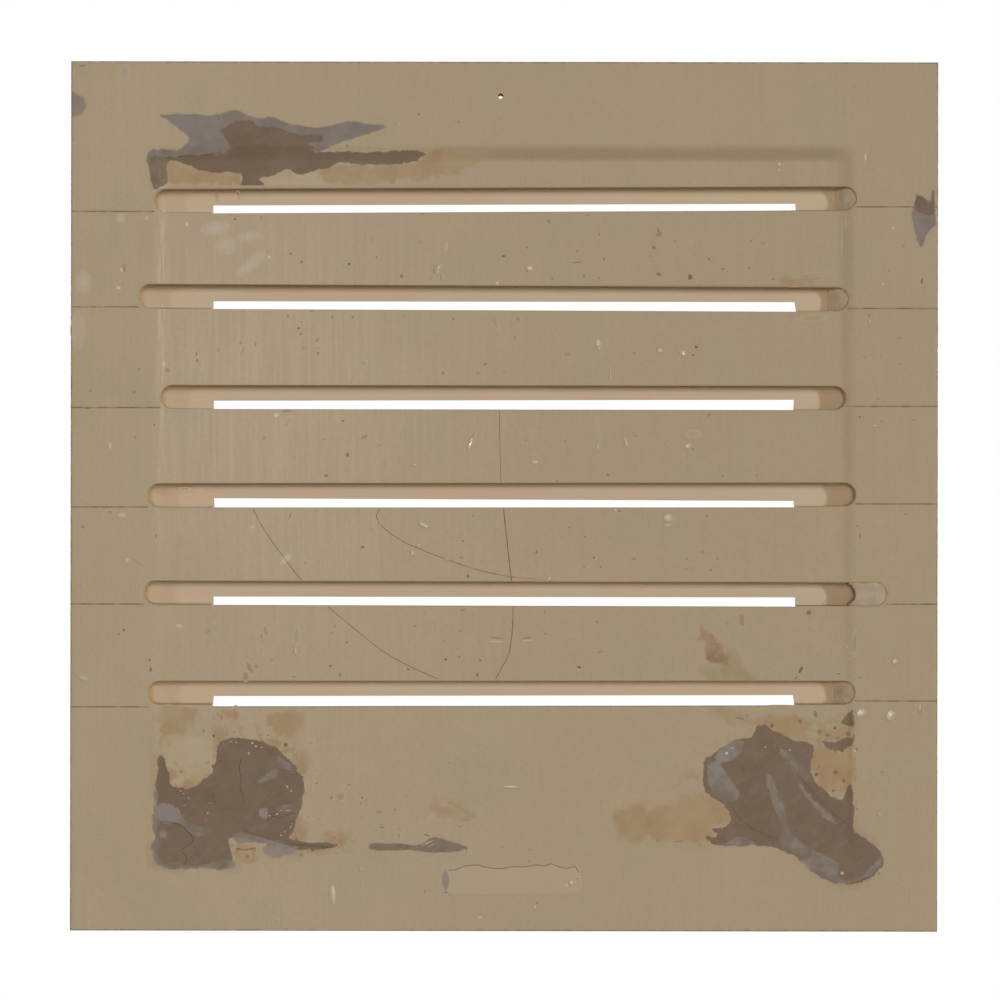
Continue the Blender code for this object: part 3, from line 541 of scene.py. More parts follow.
                [(121.2, 49.1), (126.1, 49.8), (131.8, 48.4), (133.2, 45.4), (121.2, 44.8), (113.4, 45.4)]],
        },
    },
    "fillerRightEdge": {
        "replaces": "filler_right_edge", "slot": "grey_filler", "cell": 0.6, "crumby": 0,
        "outline": [(212, 388), (220, 391.5), (227.4, 393), (227.6, 378), (227.5, 367), (219.5, 356),
            (210.8, 374)],
        "layers": {
            "grey": [[(216.4, 388.9), (220.1, 387.9), (223.8, 385.6), (225.4, 390.8), (226.6, 389.8),
                 (226.6, 378.7), (228.5, 377.7), (228.3, 373.8), (224.3, 370.3), (221.7, 365.5), (219.3, 360.8),
                 (216.4, 367.1), (214.4, 376.6), (214.8, 382.4), (216.7, 385.6)]],
            "brown": [[(216.7, 387.9), (220.1, 387.5), (223.8, 385), (225.6, 390.3), (226.4, 389.6),
                 (226.2, 378.7), (219, 378.2), (216.1, 379.8)]],
        },
    },
    "fillerBottomCentre": {
        "replaces": "filler_bottom_centre", "slot": "pale_filler", "cell": 0.8, "crumby": 0,
        "outline": [(-32.5, 38), (0.4, 37.5), (25.2, 38.5), (43, 37), (43, 17.5), (8.3, 16.5), (-32.5, 17)],
        "layers": {
            "pale": [[(-29, 32.8), (-20.6, 34.4), (-13.8, 34.9), (-10.1, 33.9), (0.4, 33.4), (16.2, 34.7),
                 (25.2, 35.5), (30.5, 33.9), (38.4, 34), (40, 29.7), (38.9, 20.8), (8.3, 19.7), (-29, 20.2),
                 (-30.1, 27)]],
        },
    },
}
patchCoat = {"proud": 0.05, "tuck": 0.10, "tuckWidth": 3.6, "depth": 3.4, "crumbFade": 7.0, "coatFade": 1.2}
layerThick = {"tan": 0.0, "cream": 0.0, "grey": 0.03, "brown": 0.08, "over": 0.05, "strip": 0.10, "pale": 0.03}
layerNames = tuple(layerThick)


def patchLift(facts, x, z, loop):
    # how far a patch stands out from the board, in millimetres, and its layer distances
    rimBy = insideBy(x, z, loop)
    tuck = np.clip(1 - rimBy / patchCoat["tuckWidth"], 0, 1) ** 2
    lift = patchCoat["proud"] * (1 - tuck) - patchCoat["tuck"] * tuck ** 4
    values = {}
    for layer, thick in layerThick.items():
        values[layer] = insideAny(x, z, facts["layers"].get(layer, ()))
        lift += thick * np.clip(values[layer] / patchCoat["coatFade"] + 0.5, 0, 1) * (1 - tuck)
    values["crumby"] = facts["crumby"] * fade(rimBy, patchCoat["crumbFade"])
    return np.where(rimBy > 0, lift, -patchCoat["tuck"]), values


def fillerAt(x, z):
    # rise of the filler at many places, and the layer distances there
    lift = np.zeros(x.shape)
    below = {layer: np.full(x.shape, farOut) for layer in layerNames}
    below["crumby"] = np.zeros(x.shape)
    for facts in patchPieces.values():
        loop = smoothLoop(facts["outline"], steps=3)
        near = insideBy(x, z, loop) > 0
        rise, values = patchLift(facts, x[near], z[near], loop)
        lift[near] = np.maximum(rise, 0)
        for layer, value in values.items():
            below[layer][near] = value
    return lift, below


def makePatch(name, facts, material):
    # an inlay cut from a fine slab to its outline, then laid on the board's own surface
    loop = smoothLoop(facts["outline"], steps=3)
    piece = cutSheet(name, loop, facts["cell"], frontY, patchCoat["depth"], material)
    points = readPoints(piece)
    x, z = points[:, 0] / mm, points[:, 2] / mm
    onFront = points[:, 1] < frontY + 0.1 * mm
    lift, values = patchLift(facts, x, z, loop)
    keepValues(piece, values)
    points[:, 1] += (fieldDepth(x, z) - np.where(onFront, lift, 0.0)) * mm
    writePoints(piece, points)
    boardValues(piece, x, z)
    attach(piece, rideBody)
    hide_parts(facts["replaces"])


# shader tools

def setInputs(tree, node, values):
    # each input gets a value, a colour or another node's output
    for key, value in values.items():
        if isinstance(value, bpy.types.NodeSocket):
            tree.links.new(value, node.inputs[key])
        else:
            node.inputs[key].default_value = value
    return node.outputs


def addNode(tree, kind, values=None, **settings):
    node = tree.nodes.new("ShaderNode" + kind)
    for key, value in settings.items():
        setattr(node, key, value)
    return setInputs(tree, node, values or {})


def colour(red, green, blue):
    # a screen colour 0-255 as the shader wants it
    def one(value):
        value = value / 255
        return value / 12.92 if value <= 0.04045 else ((value + 0.055) / 1.055) ** 2.4
    return (one(red), one(green), one(blue), 1.0)


def sums(tree, operation, a, b=0.0):
    return addNode(tree, "Math", {0: a, 1: b}, operation=operation)[0]


def times(tree, *values):
    result = values[0]
    for value in values[1:]:
        result = sums(tree, "MULTIPLY", result, value)
    return result


def plus(tree, *values):
    result = values[0]
    for value in values[1:]:
        result = sums(tree, "ADD", result, value)
    return result


def between(tree, value, low, high, first=0.0, last=1.0):
    return addNode(tree, "MapRange", {"Value": value, "From Min": low, "From Max": high, "To Min": first,
                                      "To Max": last}, interpolation_type="SMOOTHSTEP")["Result"]


def mixed(tree, share, a, b, blend="MIX"):
    return addNode(tree, "Mix", {0: share, 6: a, 7: b}, data_type="RGBA", blend_type=blend)[2]


def noiseOf(tree, place, scale, detail=3.0, rough=0.5, stretch=(1, 1, 1), shift=(0, 0, 0)):
    moved = addNode(tree, "Mapping", {"Vector": place, "Location": shift, "Scale": stretch})[0]
    return addNode(tree, "TexNoise", {"Vector": moved, "Scale": scale, "Detail": detail,
                                      "Roughness": rough})["Fac"]


def cellsOf(tree, place, scale):
    return addNode(tree, "TexVoronoi", {"Vector": place, "Scale": scale})


def valueOf(tree, name):
    return addNode(tree, "Attribute", attribute_name=name)["Fac"]


def placeIn(tree):
    return addNode(tree, "TexCoord")["Object"]


def startGroup(name, colours, vectors, floats, wanted):
    # names of the colour and vector inputs, floats with their values, and (name, kind) outputs
    tree = bpy.data.node_groups.new(name, "ShaderNodeTree")
    for kind, names in (("Vector", vectors), ("Color", colours), ("Float", floats)):
        for label in names:
            socket = tree.interface.new_socket(label, in_out="INPUT", socket_type="NodeSocket" + kind)
            if kind == "Float":
                socket.default_value = floats[label]
    for label, kind in wanted:
        tree.interface.new_socket(label, in_out="OUTPUT", socket_type="NodeSocket" + kind)
    return tree, tree.nodes.new("NodeGroupInput").outputs, tree.nodes.new("NodeGroupOutput")


def placeGroup(tree, group, values):
    node = tree.nodes.new("ShaderNodeGroup")
    node.node_tree = group
    return setInputs(tree, node, values)


def startMaterial(name, settings):
    material = bpy.data.materials.new(name)
    material.use_nodes = True
    shader = material.node_tree.nodes["Principled BSDF"]
    setInputs(material.node_tree, shader, settings)
    return material, material.node_tree, shader


def finishMaterial(tree, shader, tone, gloss, height, strength, deep):
    bump = addNode(tree, "Bump", {"Height": height, "Strength": strength, "Distance": deep * mm})
    setInputs(tree, shader, {"Base Color": tone, "Roughness": gloss, "Normal": bump[0]})


# effects shared by materials

paintTones = {"Left": colour(159, 142, 115), "Right": colour(155, 138, 110), "Warm": colour(162, 141, 115),
              "Cool": colour(154, 140, 109)}
tones = {"blush": colour(169, 151, 129), "pit": colour(112, 96, 66), "drawn": colour(128, 112, 95),
         "stain": colour(146, 119, 86), "crumb": colour(102, 84, 58), "rubbedAndLit": colour(182, 167, 142),
         "topShade": colour(120, 102, 76), "pencil": colour(104, 88, 62), "mouthShadeAndDirt": colour(122, 100, 66),
         "slotWall": colour(200, 169, 124), "edgeGrey": colour(114, 105, 98), "hair": colour(84, 70, 46)}


def agedPaintGroup():
    # old hand-brushed oil paint: soft mottling, vertical brush streaks, pits and faint spots
    tree, given, wanted = startGroup(
        "agedPaint", ("Left", "Right", "Warm", "Cool"), ("Place",), {"Blush": 0.0},
        (("Color", "Color"), ("Height", "Float"), ("Roughness", "Float")))
    place = given["Place"]
    along = addNode(tree, "SeparateXYZ", {0: place})["X"]
    # the tone goes from lighter on the left to darker on the right: partly the paint's own tone, partly painted
    # light that falls off across the face
    tone = mixed(tree, between(tree, along, -0.22, 0.2), given["Left"], given["Right"])
    cloud = noiseOf(tree, place, 13, 4, 0.55)
    tone = mixed(tree, between(tree, cloud, 0.46, 0.64, 0.0, 0.6), tone, given["Warm"])
    tone = mixed(tree, between(tree, noiseOf(tree, place, 26, 3, 0.5, shift=(3, 0, 7)), 0.5, 0.68, 0.0, 0.6),
                 tone, given["Cool"])
    tone = mixed(tree, times(tree, given["Blush"], 0.75), tone, tones["blush"])
    shade = between(tree, noiseOf(tree, place, 1, 3, 0.6, stretch=(600, 40, 18)), 0.3, 0.7, -0.5, 0.5)
    fine = between(tree, noiseOf(tree, place, 500, 3, 0.6), 0.3, 0.7, -0.5, 0.5)
    scratch = plus(tree, times(tree, given["Blush"], 0.06), 0.025)
    light = plus(tree, times(tree, shade, scratch), 1.0, times(tree, fine, 0.05))
    tone = mixed(tree, 1.0, tone, addNode(tree, "CombineColor", {0: light, 1: light, 2: light})[0], "MULTIPLY")
    spots = cellsOf(tree, place, 48.0)
    chosen = between(tree, addNode(tree, "SeparateColor", {0: spots["Color"]})[0], 0.50, 0.54)
    wobble = times(tree, noiseOf(tree, place, 900, 2), 0.04)
    pit = times(tree, between(tree, plus(tree, spots["Distance"], wobble), 0.062, 0.034), chosen)
    tone = mixed(tree, times(tree, pit, 0.4), tone, tones["pit"])
    height = plus(tree, times(tree, shade, 0.25), times(tree, fine, 0.25),
                  times(tree, noiseOf(tree, place, 60, 2), 1.5), times(tree, pit, -0.8))
    setInputs(tree, wanted, {"Color": tone, "Height": height,
                             "Roughness": between(tree, cloud, 0.3, 0.7, 0.44, 0.56)})
    return tree


def layerGroup():
    # one coat laid inside an outline, with a soft ragged edge, two tones and its own thickness
    tree, given, wanted = startGroup(
        "coatLayer", ("Color", "Tone", "Other Tone"), ("Place",),
        {"Height": 0.0, "Inside": 0.0, "Soft": 0.6, "Ragged": 0.8, "Cover": 1.0, "Raise": 0.5, "Drawn": 0.0},
        (("Color", "Color"), ("Height", "Float")))
    place = given["Place"]
    rough = between(tree, noiseOf(tree, place, 160, 5, 0.65), 0.25, 0.75, -1.0, 1.0)
    wide = between(tree, noiseOf(tree, place, 55, 4, 0.6, shift=(4, 1, 2)), 0.3, 0.7, -1.0, 1.0)
    rough = plus(tree, rough, times(tree, wide, 0.8))
    reach = plus(tree, given["Inside"], times(tree, rough, given["Ragged"]))
    mask = between(tree, reach, times(tree, given["Soft"], -1.0), given["Soft"])
    mask = times(tree, mask, given["Cover"])
    grain = between(tree, noiseOf(tree, place, 70, 5, 0.65, shift=(0, 0, 5)), 0.38, 0.62)
    tone = mixed(tree, grain, given["Tone"], given["Other Tone"])
    turned = addNode(tree, "Mapping", {"Vector": place, "Rotation": (0, 0.7, 0)})[0]
    pull = between(tree, noiseOf(tree, turned, 1, 4, 0.6, stretch=(70, 200, 330)), 0.52, 0.66)
    tone = mixed(tree, times(tree, pull, given["Drawn"]), tone, tones["drawn"])
    setInputs(tree, wanted, {"Color": mixed(tree, mask, given["Color"], tone),
                             "Height": plus(tree, given["Height"], times(tree, mask, given["Raise"]))})
    return tree


def crumbGroup():
    # blotches and crumbs of filler that were rubbed over the paint round a patch
    tree, given, wanted = startGroup(
        "crumbs", ("Color",), ("Place",), {"Height": 0.0, "Near": 0.0, "Blotch": 0.5},
        (("Color", "Color"), ("Height", "Float")))
    place = given["Place"]
    close = between(tree, given["Near"], -17.0, -1.0)
    cloud = noiseOf(tree, place, 75, 5, 0.65, shift=(7, 2, 4))
    blotch = between(tree, plus(tree, cloud, times(tree, close, 0.10)), 0.56, 0.66)
    tone = mixed(tree, times(tree, blotch, close, given["Blotch"]), given["Color"], tones["stain"])
    dots = cellsOf(tree, place, 210.0)
    chosen = addNode(tree, "SeparateColor", {0: dots["Color"]})
    reach = plus(tree, dots["Distance"], times(tree, noiseOf(tree, place, 1400, 2), 0.12))
    dot = between(tree, sums(tree, "SUBTRACT", times(tree, chosen[1], 0.26), reach), -0.06, 0.0)
    few = between(tree, plus(tree, chosen[0], times(tree, close, 0.45)), 0.86, 0.9)
    dot = times(tree, dot, few, between(tree, given["Near"], -24.0, -4.0),
                between(tree, given["Blotch"], 0.2, 0.7))
    setInputs(tree, wanted, {"Color": mixed(tree, times(tree, dot, 0.85), tone, tones["crumb"]),
                             "Height": plus(tree, given["Height"], dot)})
    return tree


agedPaint, coatLayer, crumbs = agedPaintGroup(), layerGroup(), crumbGroup()

coats = {
    "tan": {"Soft": 1.6, "Ragged": 2.2, "Tone": colour(153, 131, 98), "Other Tone": colour(148, 121, 88),
            "Cover": 0.8, "Raise": 0.05},
    "cream": {"Soft": 1.2, "Ragged": 0.6, "Tone": colour(164, 148, 119), "Other Tone": colour(160, 142, 113),
              "Cover": 0.9, "Raise": 0.0},
    "grey": {"Soft": 0.6, "Ragged": 0.5, "Tone": colour(113, 102, 93), "Other Tone": colour(121, 111, 103),
             "Cover": 0.95, "Raise": 0.3, "Drawn": 0.15},
    "brown": {"Soft": 0.35, "Ragged": 0.8, "Tone": colour(104, 86, 69), "Other Tone": colour(110, 92, 75),
              "Cover": 0.97, "Raise": 0.7, "Drawn": 0.2},
    "over": {"Soft": 0.6, "Ragged": 0.9, "Tone": colour(130, 120, 112), "Other Tone": colour(112, 98, 84),
             "Cover": 0.85, "Raise": 0.3},
    "strip": {"Soft": 0.6, "Ragged": 0.4, "Tone": colour(104, 88, 69), "Other Tone": colour(115, 100, 83),
              "Cover": 0.95, "Raise": 0.5, "Drawn": 0.5},
    "pale": {"Soft": 0.3, "Ragged": 0.3, "Tone": colour(165, 147, 122), "Other Tone": colour(163, 145, 119),
             "Cover": 0.7, "Raise": 0.3},
    "greySmear": {"Soft": 0.8, "Ragged": 0.4, "Tone": colour(120, 107, 96), "Other Tone": colour(126, 114, 103),
                  "Cover": 0.85, "Raise": 0.2},
    "tanSmear": {"Soft": 2.6, "Ragged": 2.2, "Tone": colour(150, 128, 95), "Other Tone": colour(144, 119, 88),
                 "Cover": 0.75, "Raise": 0.0},
    "rustSmear": {"Soft": 1.2, "Ragged": 2.4, "Tone": colour(126, 96, 70), "Other Tone": colour(146, 118, 90),
                  "Cover": 0.85, "Raise": 0.2},
}


def facePaintNodes(tree, place, layers=()):
    # the face's paint with its pencil lines, the left slope rubbed pale with painted light, painted shade on
    # the top slope and round the slot mouths, painted bounce light on the slot walls, darker grey over the
    # outer edge, smears and filler coats
    paint = placeGroup(tree, agedPaint, {"Place": place, "Blush": valueOf(tree, "blush"), **paintTones})
    tone, height = paint["Color"], paint["Height"]
    patchy = between(tree, noiseOf(tree, place, 1, 4, 0.6, stretch=(700, 60, 60)), 0.40, 0.62)
    # the left slope is paler: partly rubbed paint, partly painted light where the slope faces the light from
    # the right
    tone = mixed(tree, times(tree, valueOf(tree, "rubbedAndLit"), patchy, 0.45), tone, tones["rubbedAndLit"])
    # painted shade: the sunken field's top slope is darkened towards the right
    tone = mixed(tree, times(tree, valueOf(tree, "topShade"), 0.35), tone, tones["topShade"])
    deep, near = valueOf(tree, "deep"), valueOf(tree, "slotNear")
    line = times(tree, between(tree, sums(tree, "ABSOLUTE", valueOf(tree, "pencilOff")), 0.55, 0.15),
                 between(tree, valueOf(tree, "pencilPast"), -1.0, 0.5), valueOf(tree, "pencilBy"),
                 between(tree, deep, 2.2, 1.2),
                 between(tree, noiseOf(tree, place, 150, 3), 0.3, 0.62, 0.4, 0.95))
    tone = mixed(tree, line, tone, tones["pencil"])
    # darker brown round the slot mouths: painted shade at the slot edges, with some dirt
    tone = mixed(tree, between(tree, near, 0.7, 0.15, 0.0, 0.25), tone, tones["mouthShadeAndDirt"])
    # painted bounce light: the slot walls get a bright warm tone, lighter than the paint, where they lie in
    # shade
    backOf = (webY - frontY) / mm
    wall = times(tree, between(tree, near, 0.12, -0.02, 0.0, 0.9),
                 between(tree, deep, backOf - 0.02, backOf - 0.4))
    tone = mixed(tree, wall, tone, tones["slotWall"])
    # darker grey over the rounded outer edge, ragged by noise
    darkMask = plus(tree, valueOf(tree, "rimBy"),
                between(tree, noiseOf(tree, place, 240, 4, 0.7), 0.3, 0.7, -0.45, 0.45))
    tone = mixed(tree, between(tree, darkMask, 0.9, 0.0, 0.0, 0.8), tone, tones["edgeGrey"])
    for layer in (*boardSmears, *layers):
        if layer == "grey":
            crumb = placeGroup(tree, crumbs, {
                "Place": place, "Color": tone, "Height": height, "Near": valueOf(tree, "brown"),
                "Blotch": times(tree, valueOf(tree, "crumby"), 0.75)})
            tone, height = crumb["Color"], crumb["Height"]
        coat = placeGroup(tree, coatLayer, {"Place": place, "Color": tone, "Height": height,
                                            "Inside": valueOf(tree, layer), **coats[layer]})
        tone, height = coat["Color"], coat["Height"]
    return tone, height, paint["Roughness"]


# materials

def makePaint(name, layers):
    material, tree, shader = startMaterial(name, {"Specular IOR Level": 0.1})
    tone, height, gloss = facePaintNodes(tree, placeIn(tree), layers)
    finishMaterial(tree, shader, tone, gloss, height, 0.4, 0.2)
    return material


def makeSpotPaint(name):
    # small marks in and on the paint: each carries its own tint, cover and gloss
    material, tree, shader = startMaterial(name, {"Specular IOR Level": 0.25})
    place = placeIn(tree)
    tone, height, gloss = facePaintNodes(tree, place, layerNames)
    ragged = between(tree, noiseOf(tree, place, 900, 3, 0.6), 0.3, 0.7, -0.12, 0.12)
    reach = valueOf(tree, "reach")
    reach = plus(tree, reach, times(tree, ragged, between(tree, reach, 0.0, 0.15)))
    share = times(tree, between(tree, reach, 0.03, valueOf(tree, "fadeBy")), valueOf(tree, "cover"))
    tint = addNode(tree, "Attribute", attribute_name="tint")["Color"]
    shine = addNode(tree, "MapRange", {"Value": share, "To Min": 0.5, "To Max": valueOf(tree, "dull")})
    finishMaterial(tree, shader, mixed(tree, share, tone, tint), shine["Result"], height, 0.3, 0.2)
    return material


def makeHair(name):
    # a fine dark line that sinks into the paint here and there
    material, tree, shader = startMaterial(name, {"Specular IOR Level": 0.1, "Roughness": 0.5})
    place = placeIn(tree)
    tone = facePaintNodes(tree, place, layerNames)[0]
    broken = between(tree, noiseOf(tree, place, 180, 3, 0.6), 0.3, 0.6, 0.55, 1.0)
    share = times(tree, broken, valueOf(tree, "cover"))
    setInputs(tree, shader, {"Base Color": mixed(tree, share, tone, tones["hair"])})
    return material


woodTones = {"paint": colour(176, 160, 134), "cloud": colour(168, 150, 124), "bare": colour(150, 122, 86)}


def makeWoodPaint(name):
    # thin paint over softwood: the grain shows through, and corners are rubbed
    material, tree, shader = startMaterial(name, {"Specular IOR Level": 0.12})
    place = placeIn(tree)
    grain = noiseOf(tree, place, 1, 5, 0.6, stretch=(30, 260, 260))
    cloud = between(tree, noiseOf(tree, place, 20, 3), 0.4, 0.6)
    tone = mixed(tree, cloud, woodTones["paint"], woodTones["cloud"])
    tone = mixed(tree, times(tree, between(tree, grain, 0.5, 0.62), 0.25), tone, woodTones["bare"])
    darkMask = times(tree, between(tree, noiseOf(tree, place, 55, 5, 0.7, shift=(2, 4, 1)), 0.62, 0.66), 0.8)
    tone = mixed(tree, darkMask, tone, woodTones["bare"])
    height = sums(tree, "SUBTRACT", times(tree, grain, 0.8), darkMask)
    finishMaterial(tree, shader, tone, between(tree, grain, 0.35, 0.65, 0.45, 0.65), height, 0.5, 0.3)
    return material


slotTones = {"paint": colour(181, 163, 137), "cloud": colour(184, 162, 136), "brush": colour(176, 160, 132)}
# painted shade and dirt on the slot floor, under the top edge's shadow, in the right end's shadow and by the
# left end: distance from an edge where it starts, where it is full, how full, tone
slotShadeAndDirt = {"underTop": (5.4, 1.6, 0.42, colour(150, 116, 68)),
            "fromRight": (16.5, 13.5, 0.35, colour(190, 154, 102)),
            "fromLeft": (4.0, 1.0, 0.5, colour(150, 124, 78))}


def makeSlotPaint(name):
    # pale paint on the slot floor, with warm brown painted shade and dirt under the top edge and towards the
    # ends
    material, tree, shader = startMaterial(name, {"Specular IOR Level": 0.1})
    place = placeIn(tree)
    cloud = noiseOf(tree, place, 20, 3)
    tone = mixed(tree, between(tree, cloud, 0.4, 0.6), slotTones["paint"], slotTones["cloud"])
    brush = noiseOf(tree, place, 1, 4, 0.6, stretch=(25, 260, 420))
    tone = mixed(tree, times(tree, between(tree, brush, 0.45, 0.65), 0.3), tone, slotTones["brush"])
    wander = times(tree, noiseOf(tree, place, 120, 3), 1.6)
    for edge, (start, full, share, edgeTone) in slotShadeAndDirt.items():
        away = plus(tree, valueOf(tree, edge), wander)
        tone = mixed(tree, between(tree, away, start, full, 0.0, share), tone, edgeTone)
    finishMaterial(tree, shader, tone, between(tree, cloud, 0.3, 0.7, 0.45, 0.6), brush, 0.3, 0.2)
    return material


def makeZinc(name):
    material, tree, shader = startMaterial(name, {"Metallic": 1.0})
    cloud = noiseOf(tree, placeIn(tree), 600, 4, 0.6)
    tone = mixed(tree, between(tree, cloud, 0.35, 0.65), colour(176, 172, 160), colour(150, 144, 130))
    finishMaterial(tree, shader, tone, between(tree, cloud, 0.3, 0.7, 0.3, 0.5), cloud, 0.3, 0.1)
    return material


# filler in the slots' ends; its tone turns to another to the left from a distance off its right end
smearLooks = {
    # painted light: the smears' tones are lighter than the filler itself, where the slots' ends lie in shade;
    # their inner tone is warm like the floor's paint
    "smearPaint": {"tone": colour(192, 171, 142), "other": colour(180, 160, 131),
                   "innerFrom": 9.2, "innerBy": 0.8, "innerTone": colour(196, 164, 124)},
    # the plug's inner tone is darker: painted shade inside the slot's end
    "plugPaint": {"tone": colour(162, 145, 124), "other": colour(158, 141, 119),
                  "innerFrom": 16.0, "innerBy": 0.3, "innerTone": colour(132, 112, 88)},
}
smearEdge = colour(132, 112, 86)


def makeSmear(name):
    # grey filler smeared by finger: lighter and darker swirls
    look = smearLooks[name]
    material, tree, shader = startMaterial(name, {"Specular IOR Level": 0.12})
    place = placeIn(tree)
    swirl = noiseOf(tree, place, 170, 4, 0.6)
    spots = cellsOf(tree, place, 420.0)["Distance"]
    tone = mixed(tree, between(tree, swirl, 0.4, 0.6), look["tone"], look["other"])
    tone = mixed(tree, between(tree, spots, 0.35, 0.1, 0.0, 0.25), tone, look["other"])
    end = plus(tree, valueOf(tree, "fromRight"), times(tree, swirl, 2.0))
    # darker at its right end: painted shadow of the slot's end wall; darker again in a ring further in
    dark = plus(tree, between(tree, end, 2.8, 1.2, 0.0, 0.25), between(tree, end, 5.2, 7.6, 0.0, 0.18))
    tone = mixed(tree, dark, tone, smearEdge)
    innerTone = between(tree, end, look["innerFrom"], look["innerFrom"] + 2.4, 0.0, look["innerBy"])
    tone = mixed(tree, innerTone, tone, look["innerTone"])
    height = plus(tree, swirl, times(tree, spots, -0.5))
    finishMaterial(tree, shader, tone, between(tree, swirl, 0.35, 0.65, 0.35, 0.6), height, 0.6, 0.4)
    return material


# inside the slots

slotCoat = {"thick": 0.2, "reach": 3.0, "endReach": 4.0, "clear": 0.03, "cell": 1.2}


def makeSlotCoats(material):
    # the paint film that runs over stile and slat behind each slot, open at the air gap
    c = slotCoat
    for number, slot in enumerate(slotCuts, 1):
        left, right = slot["left"] - c["endReach"], slot["right"] + c["endReach"]
        low, high = slot["bottom"] - c["reach"], slot["bottom"] + slotHeight + c["reach"]
        corners = [(left, low), *gapCorners(slot, low), (right, low), (right, high), (left, high)]
        piece = cutSheet(f"slotPaint{number}", corners, c["cell"], frameY - (c["clear"] + c["thick"]) * mm,
                         c["thick"], material)
        points = readPoints(piece)
        x, z = points[:, 0] / mm, points[:, 2] / mm
        upper = slot["bottom"] + slotHeight + slope(slot["lean"]) * x
        keepValues(piece, {"underTop": upper - z, "fromRight": slot["right"] - x, "fromLeft": x - slot["left"]})
        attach(piece, rideBody)


fillerLumps = {
    "slotSmear1": {"replaces": "slot_filler_1", "slot": "grey_filler", "paint": "smearPaint",
                   "seed": 3, "grow": 0.75},
    "slotSmear2": {"replaces": "slot_filler_2", "slot": "grey_filler", "paint": "smearPaint",
                   "seed": 8, "grow": 0.75},
    "slotSmear6": {"replaces": "slot_filler_6", "slot": "grey_filler", "paint": "smearPaint",
                   "seed": 5, "grow": 0.75},
    "slotPlug5": {"replaces": "slot_filler_5", "slot": "pale_filler", "paint": "plugPaint",
                  "seed": 1, "grow": 0.4},
}
lumpForm = {"voxel": 0.35, "soften": 4, "grain": 260, "push": 0.25, "forward": 0.15}


def makeLump(name, facts, material):
    # the CAD filler's own form, made finer, then pressed and smeared
    bm = bmesh.new()
    bm.from_mesh(nodes[facts["replaces"]].data)
    bmesh.ops.remove_doubles(bm, verts=bm.verts, dist=1e-5)
    bmesh.ops.dissolve_limit(bm, angle_limit=math.radians(2), verts=bm.verts, edges=bm.edges)
    piece = addObject(name, bm, material)
    remesh = piece.modifiers.new("fine", "REMESH")
    remesh.mode = "VOXEL"
    remesh.voxel_size = lumpForm["voxel"] * mm
    piece.modifiers.new("soft", "SMOOTH").iterations = lumpForm["soften"]
    applyModifiers(piece, 60)
    points = readPoints(piece)
    shift = Vector((facts["seed"], 0, 0))
    push = np.array([noise.noise(Vector(p) * lumpForm["grain"] + shift) for p in points])
    normals = np.empty(len(points) * 3, np.float32)
    piece.data.vertices.foreach_get("normal", normals)
    normals = normals.reshape(-1, 3).astype(float)
    points += normals * (push * lumpForm["push"] * mm)[:, None]
    points[:, 0::2] += normals[:, 0::2] * facts["grow"] * mm
    if facts["paint"] == "plugPaint":
        # the plug ends flush with the sunken field
        sunk = fieldDepth(points[:, 0] / mm, points[:, 2] / mm)
        points[:, 1] += sunk * mm * fade(webY - points[:, 1], webY - frontY)
        points[:, 1] = np.maximum(points[:, 1] - lumpForm["forward"] * mm, frontY + (sunk - 0.01) * mm)
    writePoints(piece, points)
    keepValues(piece, {"fromRight": (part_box(facts["replaces"])[1].x - points[:, 0]) / mm})
    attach(piece, rideBody)
    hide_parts(facts["replaces"])


